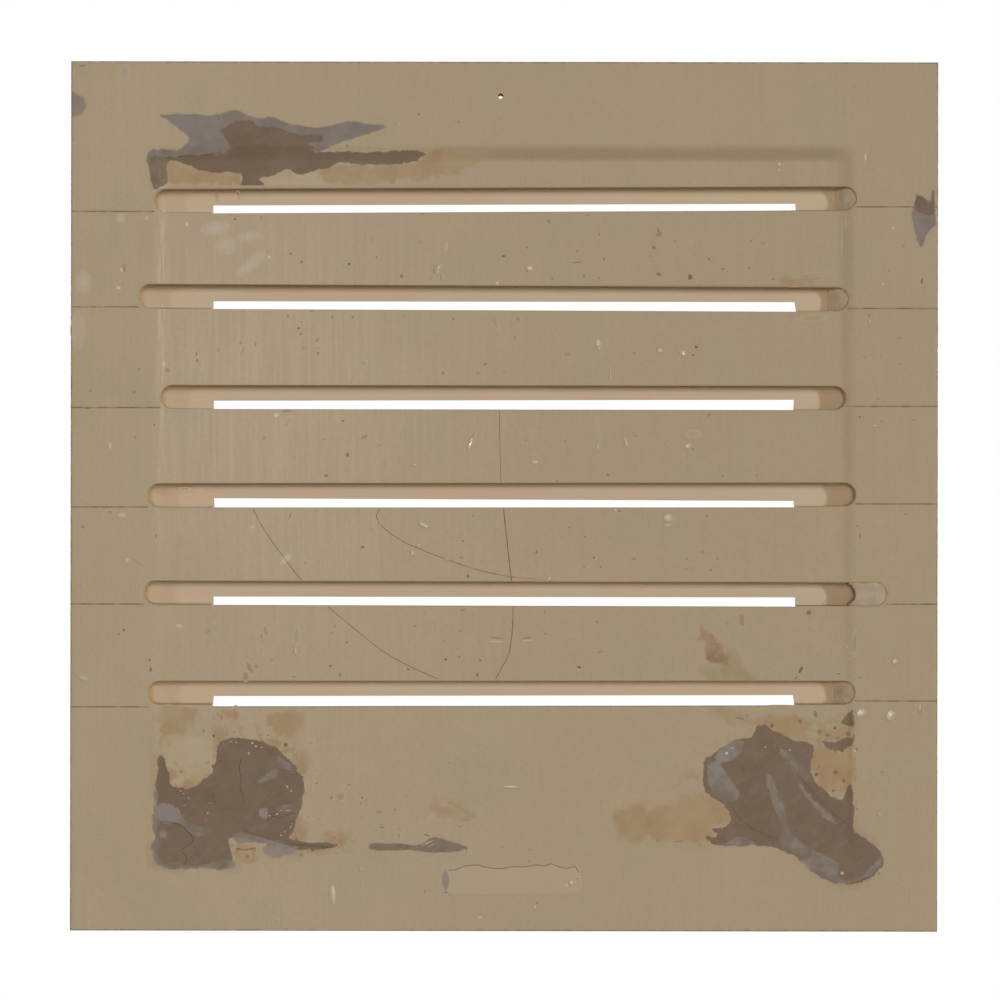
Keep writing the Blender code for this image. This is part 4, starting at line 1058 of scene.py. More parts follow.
# small marks: x, z, half length, half width (mm), cover, and a turn in degrees where it has one
spots = {
    "dark": [
        (-222.6, 455.6, 2.6, 0.7, 0.6, 3), (-139.4, 43.2, 1.8, 0.6, 0.9, -15),
        (-131.8, 43.4, 1.7, 0.6, 0.9, 12), (-30.4, 20.3, 1.4, 0.6, 0.6), (-170, 83.8, 0.7, 0.7, 0.8),
        (-141.7, 104.8, 0.8, 0.4, 0.8, 20), (-140.9, 102.6, 0.4, 0.4, 0.7), (-135.8, 100.4, 0.4, 0.7, 0.9),
        (-136.6, 98.2, 0.7, 0.4, 0.9), (-167.5, 75.8, 0.7, 0.4, 0.8), (-161.1, 78.1, 0.4, 0.7, 0.8),
        (-179.1, 70.1, 0.7, 0.7, 0.8), (-98.6, 77.6, 0.6, 0.6, 0.8), (-81.5, 77.2, 0.8, 0.4, 0.8, -30),
        (-74.5, 70.2, 0.7, 0.7, 0.8), (-75.3, 67.3, 0.6, 0.5, 0.7), (-68.6, 66.6, 0.4, 0.4, 0.6),
        (-63.8, 54.5, 1, 0.5, 0.95, -20), (-57.3, 63.9, 0.6, 0.5, 0.8), (-97.4, 59.1, 0.5, 0.4, 0.6),
        (-102.9, 59.9, 0.5, 0.5, 0.7), (-45.5, 59.9, 0.4, 0.4, 0.6), (-51.4, 70.6, 0.5, 0.4, 0.7),
        (-35.2, 87.3, 0.4, 0.4, 0.6), (-28.8, 88.7, 0.5, 0.4, 0.6), (-25.4, 73.3, 0.4, 0.4, 0.6),
        (-55.1, 50.3, 0.7, 1.2, 0.5), (-90.8, 70.2, 0.8, 1.2, 0.6), (-88.3, 67.8, 0.6, 0.5, 0.6),
        (-24.7, 42.7, 1.8, 0.6, 0.7, -10), (-106.7, 66.2, 0.9, 0.9, 0.6), (-109.2, 48.5, 1.2, 1, 0.6),
        (-128.4, 116.6, 0.7, 0.3, 0.7), (-72.3, 68.8, 0.4, 0.6, 0.5), (-54.6, 53.7, 2.2, 0.2, 0.4, 10),
        (-22.9, 55.1, 1, 0.4, 0.6), (164.3, 114.7, 1.3, 2.7, 0.7, 15), (166.4, 105.3, 1.5, 1.7, 0.7),
        (170.6, 103.6, 1.7, 1.1, 0.7), (175.9, 102.1, 1.9, 1.1, 0.6), (180.1, 111.6, 1.7, 2.5, 0.7),
        (181.5, 104.2, 1.5, 1.9, 0.7), (185.8, 96.4, 0.7, 0.7, 0.6), (199, 84.2, 1.7, 0.4, 0.5),
        (178.6, 30.7, 0.9, 0.9, 0.8), (124.2, 112.4, 3.2, 0.6, 0.6, -15), (128.4, 114, 1.1, 0.6, 0.5),
        (17.8, 15.1, 0.8, 0.8, 0.8), (-11.9, 9, 0.8, 0.5, 0.5), (13.3, 36.7, 1.4, 0.3, 0.5),
        (-41.5, 20.9, 0.7, 0.7, 0.6), (38.9, 27.8, 0.6, 0.5, 0.7), (-28.3, 19.1, 0.5, 0.5, 0.5),
        (-142.3, 375, 1.1, 0.8, 0.8), (-112.8, 356.8, 0.9, 0.7, 0.8), (-107, 352.6, 1.2, 1.1, 0.7),
        (-81.9, 351.4, 1.1, 0.9, 0.9, 30), (-200.2, 349.1, 0.7, 3.2, 0.5), (-108.6, 317.6, 0.9, 0.9, 0.9),
        (-107.5, 314.5, 0.8, 0.8, 0.8), (-107, 320.8, 0.7, 0.7, 0.6), (-114.1, 324, 0.9, 0.8, 0.6),
        (-90.7, 323.5, 0.8, 0.9, 0.7), (-80.1, 323.5, 0.7, 0.9, 0.7), (-101.7, 326.6, 1.6, 0.5, 0.6),
        (-192.3, 295.9, 0.8, 1.1, 0.5), (-177.6, 295.4, 1.3, 1.6, 0.5, 40), (-195, 283.8, 1.6, 1.1, 0.45),
        (-218.1, 284.3, 0.8, 0.6, 0.5), (-219.7, 275.3, 2.1, 0.5, 0.9), (-84.9, 268.7, 0.9, 0.8, 0.9),
        (-94.9, 258.9, 1.1, 0.7, 0.5), (-184.4, 266.4, 0.7, 0.7, 0.7), (-194.4, 260.1, 0.7, 0.7, 0.6),
        (-114.4, 273.9, 3.7, 0.5, 0.7, 3), (-131.2, 309.2, 0.7, 1.6, 0.5), (-150.7, 306, 1.1, 1.3, 0.4),
        (-98.1, 304.5, 0.8, 1.1, 0.7), (-106, 307.1, 1.8, 0.8, 0.4, -40), (-67.5, 355.1, 0.6, 0.8, 0.6),
        (-54.3, 345.1, 1.2, 1.5, 0.7), (-44.3, 363, 1.1, 0.6, 0.4), (-0.6, 355.7, 1.3, 0.9, 0.95, 10),
        (12, 360.2, 0.7, 0.7, 0.7), (38.6, 352.6, 3.2, 0.4, 0.8, 8), (52.4, 354.2, 0.6, 1.6, 0.8),
        (50, 367.4, 0.6, 1.1, 0.6), (38.4, 358.4, 0.9, 0.6, 0.6), (41.8, 345.3, 0.9, 1.2, 0.6),
        (25.2, 343.9, 0.8, 0.5, 0.7), (50, 344.4, 0.8, 0.5, 0.6), (78.9, 360.6, 1.4, 0.8, 0.7, -30),
        (81, 369.5, 0.8, 2.1, 0.6), (81, 346.4, 0.9, 1.2, 0.8), (76.8, 355.8, 0.6, 0.8, 0.5),
        (23.1, 374.2, 1.6, 0.9, 0.6, -20), (-43.3, 377.8, 1.6, 0.5, 0.6, 20), (43.6, 377.4, 1.6, 0.4, 0.6),
        (-26.9, 322.7, 0.9, 1.3, 0.6), (7.3, 322.6, 1.2, 1.4, 0.45), (-54.9, 311.4, 0.7, 1.6, 0.3, 20),
        (-9.9, 298.8, 1.4, 0.6, 0.7, 30), (-32.2, 294.1, 1.3, 1.1, 0.5), (-13.8, 294.1, 1.1, 0.7, 0.4),
        (-0.1, 294.6, 1.1, 0.8, 0.35), (-52.8, 324.1, 0.6, 1.4, 0.4), (5.7, 312.5, 0.8, 1.3, 0.35),
        (68.4, 304.7, 0.9, 0.7, 0.5), (69.5, 261, 1.6, 0.8, 0.4), (11.5, 258.5, 0.7, 1.1, 0.4),
        (32.1, 258.5, 0.7, 0.6, 0.6), (-73.8, 260.3, 2.1, 1.3, 0.5, 20), (81.6, 367.4, 1.6, 2.4, 0.55, -55),
        (78.9, 360.1, 0.9, 1.1, 0.7), (90, 363.8, 0.8, 0.6, 0.5), (107.9, 354.3, 1.1, 0.8, 0.6, 20),
        (115.3, 349.1, 1.3, 0.7, 0.6, 20), (129, 349.6, 1.1, 0.8, 0.6), (81.9, 346.2, 0.9, 1.1, 0.9),
        (97.9, 344.8, 1.5, 1.9, 1, 20), (141.6, 343.8, 1.6, 0.7, 0.5), (130, 363.8, 0.8, 0.6, 0.6),
        (136.3, 362.8, 1.6, 1.1, 0.3), (101.1, 308, 1.3, 1.1, 1, 10), (99.5, 303.7, 1.1, 0.7, 0.8, 10),
        (210.1, 361.3, 0.8, 0.8, 0.5), (219.9, 342.9, 0.8, 2, 0.95, -10), (192.2, 324.7, 0.8, 0.6, 0.7),
        (202.7, 348.1, 0.8, 1.1, 0.4), (208.5, 312.8, 0.9, 0.7, 0.5), (189.5, 302.8, 0.9, 0.6, 0.5),
        (198.5, 302.8, 0.6, 1.1, 0.4), (208.5, 299.2, 1.1, 0.7, 0.4), (196.9, 280.7, 0.9, 0.7, 0.5),
        (107.9, 272.1, 1.2, 1.4, 0.5), (187.2, 271.2, 0.9, 1.1, 0.7), (215.4, 269.7, 1.3, 0.5, 0.5, -20),
        (178.5, 312.8, 1.3, 0.9, 0.4), (-82.6, 250.8, 1.2, 1.4, 0.9, -20), (-93.8, 239.9, 1.6, 0.9, 0.7, 10),
        (-207.6, 220.6, 0.8, 0.7, 0.6), (-221.8, 212.7, 1.4, 1.3, 0.5), (-183.4, 208, 0.6, 1.6, 0.6, -20),
        (-112.8, 218.6, 0.6, 2.1, 0.6, -15), (-74.9, 202.3, 1.1, 0.9, 0.8, -20),
        (-193.4, 194.3, 5.8, 0.4, 0.35, -38), (-200.2, 158.4, 0.8, 1.4, 0.8, -20),
        (-202.9, 156.3, 0.9, 0.6, 0.7, 20), (-186.5, 142.7, 0.8, 0.8, 0.9), (-186, 137.7, 0.9, 1.4, 0.95),
        (-156, 158, 2.1, 1.6, 0.35, 20), (-82.8, 152, 0.8, 0.7, 0.7), (-91.4, 139.6, 1.1, 0.7, 0.9, -10),
        (-122.3, 142.7, 0.7, 0.8, 0.6), (-110.7, 133.8, 1.4, 0.6, 0.6), (54.7, 240.5, 1.1, 0.6, 0.9, -20),
        (27.8, 237.3, 1.1, 0.6, 0.6, 20), (61, 221.5, 1.2, 0.6, 0.8), (42.6, 207.8, 0.6, 0.6, 0.8),
        (17.1, 199.8, 0.7, 1.2, 0.8), (47.3, 196.9, 0.7, 1.1, 0.8), (51, 192, 0.6, 0.7, 0.6),
        (42.1, 192, 0.6, 0.6, 0.6), (68.4, 196.2, 1.4, 1.2, 0.5), (34.5, 212.7, 1.1, 0.5, 0.6),
        (-21.7, 205.6, 0.7, 0.7, 0.8), (-22.7, 196.8, 1.4, 0.5, 0.6), (-19, 187.1, 1.1, 1.2, 0.8, 20),
        (-74.3, 202.3, 1.4, 0.6, 0.7, -20), (-16.4, 218.8, 0.6, 0.7, 0.5), (49.1, 163, 1.3, 0.9, 0.5),
        (39.7, 139.1, 1.3, 1.1, 0.9, -20), (22, 156.7, 1.1, 0.6, 0.5), (-30.6, 143.1, 1, 0.9, 0.95),
        (-23.3, 144.5, 0.8, 0.7, 0.7), (-12.4, 142.6, 1.1, 0.8, 0.7), (-14, 135, 1.1, 1.3, 0.8, 30),
        (-50.3, 137.8, 1.1, 0.8, 0.9, -10), (-47, 160.8, 0.9, 0.8, 0.5), (-31.2, 152.9, 0.7, 1.1, 0.4),
        (-46.4, 150.2, 0.9, 0.5, 0.4), (-24.3, 148.7, 0.8, 0.4, 0.5), (21.5, 168.2, 0.5, 0.9, 0.5),
        (-21.7, 169.2, 2.1, 1.1, 0.45, 10), (-41.7, 167.6, 1.8, 1.3, 0.25), (-3.8, 154.5, 5.3, 0.4, 0.7, -3),
        (12, 154.5, 3.7, 0.4, 0.7, 3), (99.5, 254.2, 1.4, 1.1, 0.4, 30), (86.3, 254.7, 0.8, 0.6, 0.4),
        (106.8, 218.9, 0.8, 0.9, 0.6), (211.7, 220.1, 1.8, 0.5, 0.5, 25), (185.9, 213.8, 0.8, 0.7, 0.5),
        (187.4, 208.5, 0.6, 1.8, 0.8), (105.1, 200, 1.2, 0.5, 0.7, 10), (96.3, 196.3, 0.9, 0.5, 0.7),
        (112.6, 196.3, 1.1, 0.5, 0.5), (109, 190.5, 0.9, 0.7, 0.8, -10), (96.3, 191, 0.8, 0.4, 0.6),
        (115.1, 240, 0.9, 0.6, 0.6), (133.2, 240.3, 0.7, 0.8, 0.5), (117.4, 162.6, 1.6, 1.6, 0.3),
        (160.6, 168.1, 1.8, 1.6, 0.85), (156.4, 137.9, 1.1, 2.4, 0.95, -25), (154, 133.7, 0.7, 1.6, 0.8, -45),
        (176.4, 135.8, 1.3, 0.6, 0.8), (187.4, 134, 1.9, 0.4, 0.6), (-170.2, 83.7, 0.9, 0.8, 0.9),
        (-179.7, 60.5, 0.8, 0.6, 0.6), (-168.1, 47.9, 1.1, 0.6, 0.6), (-1.9, 444.2, 0.6, 0.6, 0.4),
        (171.6, 451.3, 0.6, 0.6, 0.3), (-150.7, 427.6, 1.1, 0.9, 0.7), (-138.1, 429.3, 1.8, 1.3, 0.6),
        (-140.7, 389, 0.9, 1.3, 0.9), (186.1, 96.1, 1.1, 0.8, 0.8), (186.4, 64.7, 0.9, 0.7, 0.6),
        (199.5, 84.1, 1.6, 0.5, 0.5, -50), (-40.6, 50.6, 2.6, 0.4, 0.95, -12), (-19.6, 43.6, 0.4, 1.6, 0.8),
        (-44.5, 45.2, 1, 1, 0.7), (-64.1, 54.6, 1.6, 0.5, 0.7, -20), (-65.4, 62.8, 2.6, 1.3, 0.4),
        (13.6, 43.1, 1.6, 0.7, 0.4), (-83, 413.6, 1.1, 0.7, 0.6), (-45.1, 430.3, 1.1, 0.8, 0.6),
        (-24.3, 426.3, 0.9, 0.7, 0.6)],
    "olive": [
        (-2.2, 45, 1.9, 0.3, 0.6, 3), (3.1, 44.3, 0.4, 1.4, 0.5), (39.3, 46.1, 1.4, 0.4, 0.4),
        (40.3, 45, 0.7, 0.4, 0.4), (-160.7, 299.7, 1.9, 4.7, 0.45, 10), (-137.6, 306, 1.4, 3.7, 0.55, -15),
        (-74.3, 299.3, 2.6, 1.9, 0.5), (-113.9, 268.1, 4.7, 2.1, 0.45, 55), (-126.5, 259.7, 1.9, 1.8, 0.8),
        (-20.6, 303.6, 1.9, 1.1, 0.5), (-126.5, 311.3, 2.1, 1.3, 0.35, -45), (195.9, 349.7, 1.4, 1.2, 0.7),
        (97.9, 360.6, 1.2, 3.7, 0.45), (83.1, 320, 1.1, 3.2, 0.35, -15), (-16.6, 247.2, 1.1, 1.1, 0.5),
        (-109.1, 155.4, 2.3, 5.3, 0.55), (-128.1, 148, 1.6, 4.2, 0.3, 15), (139.8, 138.4, 1.2, 0.9, 0.9),
        (184.9, 152.2, 1.5, 7.6, 1, -4), (49.4, 263.1, 1.3, 7.9, 0.3, 5), (-0.6, 44.4, 3.2, 0.8, 0.6, -12),
        (198, 215.9, 2.1, 1.1, 0.3), (-187.1, 283.8, 2.1, 0.8, 0.35), (89.5, 217.3, 1.6, 1.6, 0.3)],
    "rust": [
        (-135.7, 39.2, 3, 4.2, 0.3), (-85.9, 70.9, 3, 2.7, 0.55), (-65, 62.9, 2.5, 0.9, 0.6),
        (-98.9, 84.9, 2.5, 1.3, 0.35), (-101.8, 99.4, 2.5, 2.2, 0.35), (-109.2, 91.9, 1.9, 3.2, 0.35),
        (-90, 48.8, 3.2, 2.4, 0.5), (-31.8, 63.7, 7.1, 3.2, 0.35, 4), (-28.1, 62.8, 6.3, 0.9, 0.5, 4),
        (-20, 58.8, 5.2, 0.6, 0.5, 3), (-144.3, 114.2, 2.5, 3, 0.5), (-152.6, 112.2, 0.7, 2.2, 0.5),
        (-136.9, 42.8, 4.4, 0.4, 0.9, -3), (-131.3, 42.6, 1.2, 1, 0.9), (-140.2, 42.5, 1.2, 1, 0.9),
        (-74.5, 59.9, 2.5, 1.5, 0.35), (-112.2, 84.2, 3.7, 0.9, 0.3, -10), (104.2, 159.9, 0.8, 1.3, 0.8, 20),
        (105.9, 157, 0.8, 1.3, 0.8, 20), (108.4, 153.6, 0.9, 1.5, 0.8, 25), (110.7, 149.4, 1.1, 1.3, 0.8),
        (111.8, 145.2, 1.3, 1.3, 0.8), (114.1, 151.1, 0.8, 1.1, 0.7), (116.2, 146.3, 1.1, 0.8, 0.7),
        (109.9, 142.7, 1.1, 0.8, 0.7), (82.1, 48, 0.8, 1.7, 0.7), (92.6, 47.4, 4.6, 0.8, 0.8, 3),
        (103.8, 46, 0.6, 1.9, 0.6, -20), (14, 43, 1.6, 0.8, 0.6), (-162.3, 303.9, 0.9, 1.2, 1),
        (-161.8, 300.7, 1.1, 1.6, 1, -20), (-139.1, 309.7, 0.9, 1.5, 0.9, -20),
        (-98.6, 311.3, 0.9, 2.3, 0.9, -20), (-98.1, 307.1, 1.3, 0.9, 0.4), (-69.6, 364.1, 0.6, 2.3, 0.5),
        (-4.8, 321, 1.2, 5.3, 0.4, 20), (33.1, 304.2, 3.2, 1.4, 0.6, -10), (-69.6, 305.1, 1.6, 1.1, 0.3),
        (67.9, 262.1, 1.1, 1.6, 0.5), (111.6, 313.8, 2.6, 0.8, 0.4, -20), (100, 262.1, 4.2, 2.6, 0.2),
        (92.6, 251, 2.6, 1.6, 0.35, 20), (-125.4, 158, 1.3, 3.7, 0.6, 20), (-127.6, 155.4, 0.9, 1.6, 0.8, 20),
        (-89.1, 160.7, 0.8, 1.4, 0.9), (-90.7, 157, 1.5, 1.2, 0.6), (-86.3, 134.9, 1.6, 1.3, 0.9),
        (51, 147.2, 3.2, 1.1, 0.8, 20), (125.3, 164.7, 1.9, 4.2, 0.9, -10), (125.8, 162.6, 1.1, 2.1, 0.9),
        (124.5, 166.3, 1.1, 1.6, 0.9), (-133.9, 138.5, 1.8, 4.2, 0.8, 25), (-130.2, 139.6, 1.6, 2.6, 0.6, 20),
        (-136, 134.3, 2.1, 3.2, 0.8), (153.7, 341.2, 7.4, 1.6, 0.55, 3), (162.2, 346, 11.6, 1.3, 0.3, 8),
        (162.2, 323.3, 9, 1.8, 0.35, 3), (-168.1, 233, 3.2, 0.6, 0.8, -5), (-141.2, 114.3, 2.6, 4.7, 0.55),
        (-148.6, 112.2, 1.3, 2.1, 0.6, 10), (-30.1, 60.7, 10.5, 2.6, 0.35, 3), (81, 48.3, 1.2, 2, 0.7, 10),
        (92.6, 47.7, 3.2, 0.9, 0.7, 5), (103.4, 45.4, 0.6, 1.8, 0.7, 15), (146, 119, 9, 0.5, 0.4)],
    "gold": [
        (219.4, 117.7, 1.3, 3.4, 0.8, -5), (-35.4, 348.8, 2.4, 3.4, 0.9, -30),
        (-32.7, 344.6, 1.1, 2.3, 0.7, 20), (-38, 344.1, 0.6, 1.8, 0.6, -30), (55.8, 293.7, 0.8, 4.7, 0.8),
        (50, 307.3, 2.6, 4.2, 0.3, 20), (-15.9, 260.4, 1.1, 3.2, 0.7, -30)],
    # pale flecks, and painted highlights: the long thin pale lines down the sunken field's slope edges and some
    # small pale specks stand for light caught there
    "pale": [
        (-143.9, 99.6, 0.7, 0.3, 0.8, 10), (-140.9, 99.2, 0.6, 0.4, 0.8), (-132.5, 98.9, 0.9, 0.5, 0.9, 20),
        (-130.6, 97.3, 1, 0.4, 0.9), (-127.6, 96.7, 0.7, 0.4, 0.8), (-134.3, 93, 0.5, 0.5, 0.6),
        (-170.3, 73.6, 1, 0.2, 0.9, -25), (-168.7, 72.2, 0.9, 0.2, 0.9, -25), (-166, 69.8, 0.4, 0.7, 0.8),
        (-156, 62, 0.6, 0.5, 0.7), (-156.9, 58.3, 0.4, 0.4, 0.6), (-114.1, 75.9, 0.4, 1.3, 0.8, 35),
        (-112, 73.7, 0.4, 0.9, 0.8, 35), (-123.2, 60.6, 0.7, 0.4, 0.9), (-119.5, 61.5, 0.9, 0.4, 0.9, 20),
        (-117.3, 63.5, 0.7, 0.4, 0.8), (-113.6, 63.4, 1.9, 0.4, 0.5, 5), (-117.3, 50.3, 0.6, 0.7, 0.6),
        (-115.3, 52.3, 0.4, 0.7, 0.6), (-112.2, 54.7, 0.4, 1, 0.7, -20), (-154.9, 67.2, 1.8, 0.2, 0.5, 8),
        (-168.2, 66.1, 1.6, 0.2, 0.4, 8), (-111.4, 56.5, 0.4, 0.4, 0.7), (117.5, 94, 1.1, 1.1, 0.9),
        (120.6, 96.8, 1.5, 0.5, 0.5, 25), (150.6, 95.7, 0.6, 0.6, 0.6), (137.9, 97.2, 0.8, 0.8, 0.4),
        (180.7, 149.9, 0.6, 1.1, 0.9, 20), (182.8, 146.8, 0.7, 0.6, 0.7), (182.2, 144, 0.8, 0.5, 0.7),
        (33.6, 25, 1.1, 1.8, 0.35, -40), (-12.4, 7.2, 1.4, 0.7, 0.6), (16.6, 12.7, 0.6, 1.1, 0.8, -20),
        (-167.6, 372.3, 0.8, 1.3, 0.9), (-203.4, 338.6, 1.4, 1.2, 0.9), (-201.8, 348.1, 0.7, 1.6, 0.8, 10),
        (-124.4, 355, 1.2, 1.1, 0.8), (-179.7, 298.6, 1.4, 1.6, 0.8), (-207.6, 255.3, 0.8, 2.4, 0.5),
        (-120.2, 271.8, 1.9, 1.2, 0.8, 10), (-3.8, 341.5, 0.7, 1.1, 0.8), (-30.6, 361, 0.5, 3.2, 0.4, -10),
        (199.6, 341.3, 0.7, 0.9, 0.6), (-201.3, 219, 2.6, 1.3, 0.4), (-132.8, 212.8, 1.3, 1.1, 0.5),
        (-198.7, 195.3, 1.3, 1.6, 0.5), (-114.9, 196, 2.1, 4.2, 0.45, -42), (-171.3, 160.6, 1.8, 1.3, 0.5),
        (58.6, 222, 0.9, 0.6, 0.9), (-4.3, 152.6, 4.7, 0.4, 0.6, -2), (12.6, 153.2, 3.7, 0.4, 0.5, 3),
        (190.1, 408.2, 0.6, 2.2, 0.9), (-188.7, 375.5, 1.6, 1.6, 0.2), (86.3, 214.2, 2.1, 0.6, 0.5, 10),
        (204.8, 370.8, 1.1, 1.3, 0.4), (-179.5, 371.8, 0.6, 8.4, 0.4), (-179.5, 352.3, 0.6, 11.6, 0.5),
        (-180.2, 316.5, 0.6, 13.7, 0.4), (177.7, 365.5, 0.5, 14.7, 0.3), (179.8, 373.9, 0.6, 5.3, 0.2),
        (39.4, 137.7, 0.7, 0.5, 0.7), (184.8, 95.3, 1.1, 0.6, 0.5), (-180.9, 408.7, 0.6, 0.4, 0.5),
        (-175, 407.6, 2.6, 0.3, 0.25), (-39.6, 46.6, 4.6, 0.35, 0.8, 25), (-37.8, 45.4, 3.4, 0.25, 0.6, 25)],
    "lilac": [
        (-202.3, 375.5, 3.2, 3.2, 0.5), (-221.8, 341.7, 4.7, 6.3, 0.45), (-152.3, 370.3, 7.9, 4.2, 0.45, 10),
        (-134.9, 366.1, 7.4, 2.6, 0.4, 5), (-133.9, 351.3, 10.5, 3.2, 0.4, 38), (-147, 361.3, 6.3, 5.3, 0.3),
        (-98.1, 307.1, 1.1, 1.1, 0.5), (-224.5, 316.4, 4.2, 10.5, 0.15)],
    "gloss": [
        (-34.8, 349.9, 1.3, 2.1, 0.9, -30), (13.1, 349.4, 2.3, 1.9, 0.8), (50, 307.3, 1.2, 1.6, 0.9),
        (49.4, 310, 2.1, 2.6, 0.7), (-18, 256.7, 1.4, 4.2, 1, -20), (49.4, 255.2, 0.8, 1.6, 0.9),
        (64.2, 257.9, 0.9, 3.2, 0.8, 15), (94.2, 304.8, 2.1, 1.9, 0.9), (82.1, 306.3, 2.1, 1.6, 0.7),
        (192.4, 321.8, 0.9, 0.9, 1), (195.7, 266.5, 1.2, 0.8, 1), (-183.9, 221.9, 1.3, 1.1, 1),
        (-47.5, 245.6, 1.6, 1.2, 0.8), (16.2, 247.2, 2.3, 1.4, 0.7), (-42.7, 214, 3.5, 1.4, 1, -20),
        (-48.5, 199.2, 1.2, 2.3, 1, 10), (-30.6, 196.1, 1.1, 1.1, 1), (-45.4, 203.4, 0.8, 1.3, 0.8),
        (23.6, 185.6, 0.8, 2.1, 0.9, -40), (-109.9, 147.5, 1.2, 2.4, 1), (180.4, 149.7, 0.9, 1.2, 1, -20),
        (182.9, 144.6, 0.8, 1.1, 1), (205.9, 142.4, 1.6, 2.1, 0.8, -40), (196.9, 210.3, 0.8, 0.8, 0.9),
        (188.2, 115.2, 3.2, 2.5, 0.8, 20), (203.7, 114, 2.7, 3.4, 0.8, -25), (-90.2, 19, 2.1, 5.8, 0.8, 5),
        (-119.1, 5.8, 1.4, 1.1, 0.7), (144.8, 404.4, 1.2, 1.6, 0.9), (-29, 438.5, 0.9, 0.9, 0.9),
        (-56.4, 425.2, 1.1, 0.8, 0.9), (96.8, 255.8, 2.3, 1.8, 0.7, 20), (86.3, 217.9, 2.9, 2.6, 0.6, 20),
        (3.1, 76, 4.7, 1.2, 0.7), (-75.4, 32.7, 1.1, 1.1, 0.7), (198, 61.8, 1.1, 1.1, 0.8),
        (178.3, 30.8, 1.3, 1.2, 0.9), (-134.4, 93.7, 0.8, 0.7, 0.8), (35.7, 25.5, 2.1, 1.6, 0.8),
        (-221.8, 133.1, 3.2, 1.6, 0.4, -20), (144.2, 401.2, 0.8, 1.3, 0.6), (-161.8, 302.3, 0.6, 1.1, 0.6)],
    "grey": [
        (-200.2, 452.6, 2.6, 4, 0.3, 5), (-30.5, 26.6, 2.6, 7.5, 0.9, 2), (-30.6, 26.4, 1.1, 7, 0.6, 2),
        (117.5, 94, 6.3, 4, 0.35, -20), (-179.4, 50.6, 2.2, 2.2, 0.8), (-126.9, 62, 2.1, 1.9, 0.7)],
}
markKinds = {
    "dark": {"tint": colour(98, 82, 54), "height": 0.05, "fadeBy": 0.40, "dull": 0.5},
    "olive": {"tint": colour(130, 119, 74), "height": 0.05, "fadeBy": 0.75, "dull": 0.4},
    "rust": {"tint": colour(134, 98, 66), "height": 0.06, "fadeBy": 0.60, "dull": 0.4},
    "gold": {"tint": colour(122, 96, 50), "height": 0.14, "fadeBy": 0.45, "dull": 0.2},
    # pale marks are partly pale flecks, partly painted highlights
    "pale": {"tint": colour(186, 172, 147), "height": 0.08, "fadeBy": 0.60, "dull": 0.4},
    "grey": {"tint": colour(122, 111, 101), "height": 0.03, "fadeBy": 0.50, "dull": 0.5},
    "lilac": {"tint": colour(172, 158, 144), "height": 0.02, "fadeBy": 1.00, "dull": 0.5},
    "gloss": {"tint": colour(158, 142, 114), "height": 0.30, "fadeBy": 0.35, "dull": 0.16},
}
markForm = {"large": 1.6, "flat": 0.1, "full": 1.2}


def makeMarks(material):
    # every mark is a very flat dome half sunk in the paint
    bm = bmesh.new()
    rows = []
    for kind, marks in spots.items():
        look = markKinds[kind]
        for x, z, long, wide, cover, *turn in marks:
            fineness = 3 if max(long, wide) > markForm["large"] else 2
            spin = Matrix.Rotation(-math.radians(sum(turn)), 3, "Y")
            height = look["height"] * min(1.0, min(long, wide) / markForm["full"])
            for vert in bmesh.ops.create_icosphere(bm, subdivisions=fineness, radius=1.0)["verts"]:
                rise = -vert.co.y
                if rise > 0 and look["height"] < markForm["flat"]:
                    rise *= rise
                reach = 1 - math.hypot(vert.co.x, vert.co.z) if rise > 0 else 0.0
                flat = spin @ Vector((vert.co.x * long, 0, vert.co.z * wide))
                rows.append((x + flat.x, z + flat.z, rise * height, reach, cover, look["fadeBy"], look["dull"],
                             *look["tint"][:3]))
                vert.co = Vector(((x + flat.x) * mm, frontY, (z + flat.z) * mm))
    piece = addObject("paintMarks", bm, material, 80)
    x, z, height, reach, cover, fadeBy, dull, *tint = np.array(rows).T
    lift, below = fillerAt(x, z)
    keepValues(piece, below)
    points = readPoints(piece)
    points[:, 1] = frontY + (fieldDepth(x, z) - lift - height) * mm
    writePoints(piece, points)
    boardValues(piece, x, z)
    keepValues(piece, {"reach": reach, "cover": cover, "fadeBy": fadeBy, "dull": dull})
    layer = piece.data.attributes.new("tint", "FLOAT_COLOR", "POINT")
    layer.data.foreach_set("color", np.array([*tint, np.ones(len(x))]).T.astype(np.float32).ravel())
    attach(piece, rideBody)


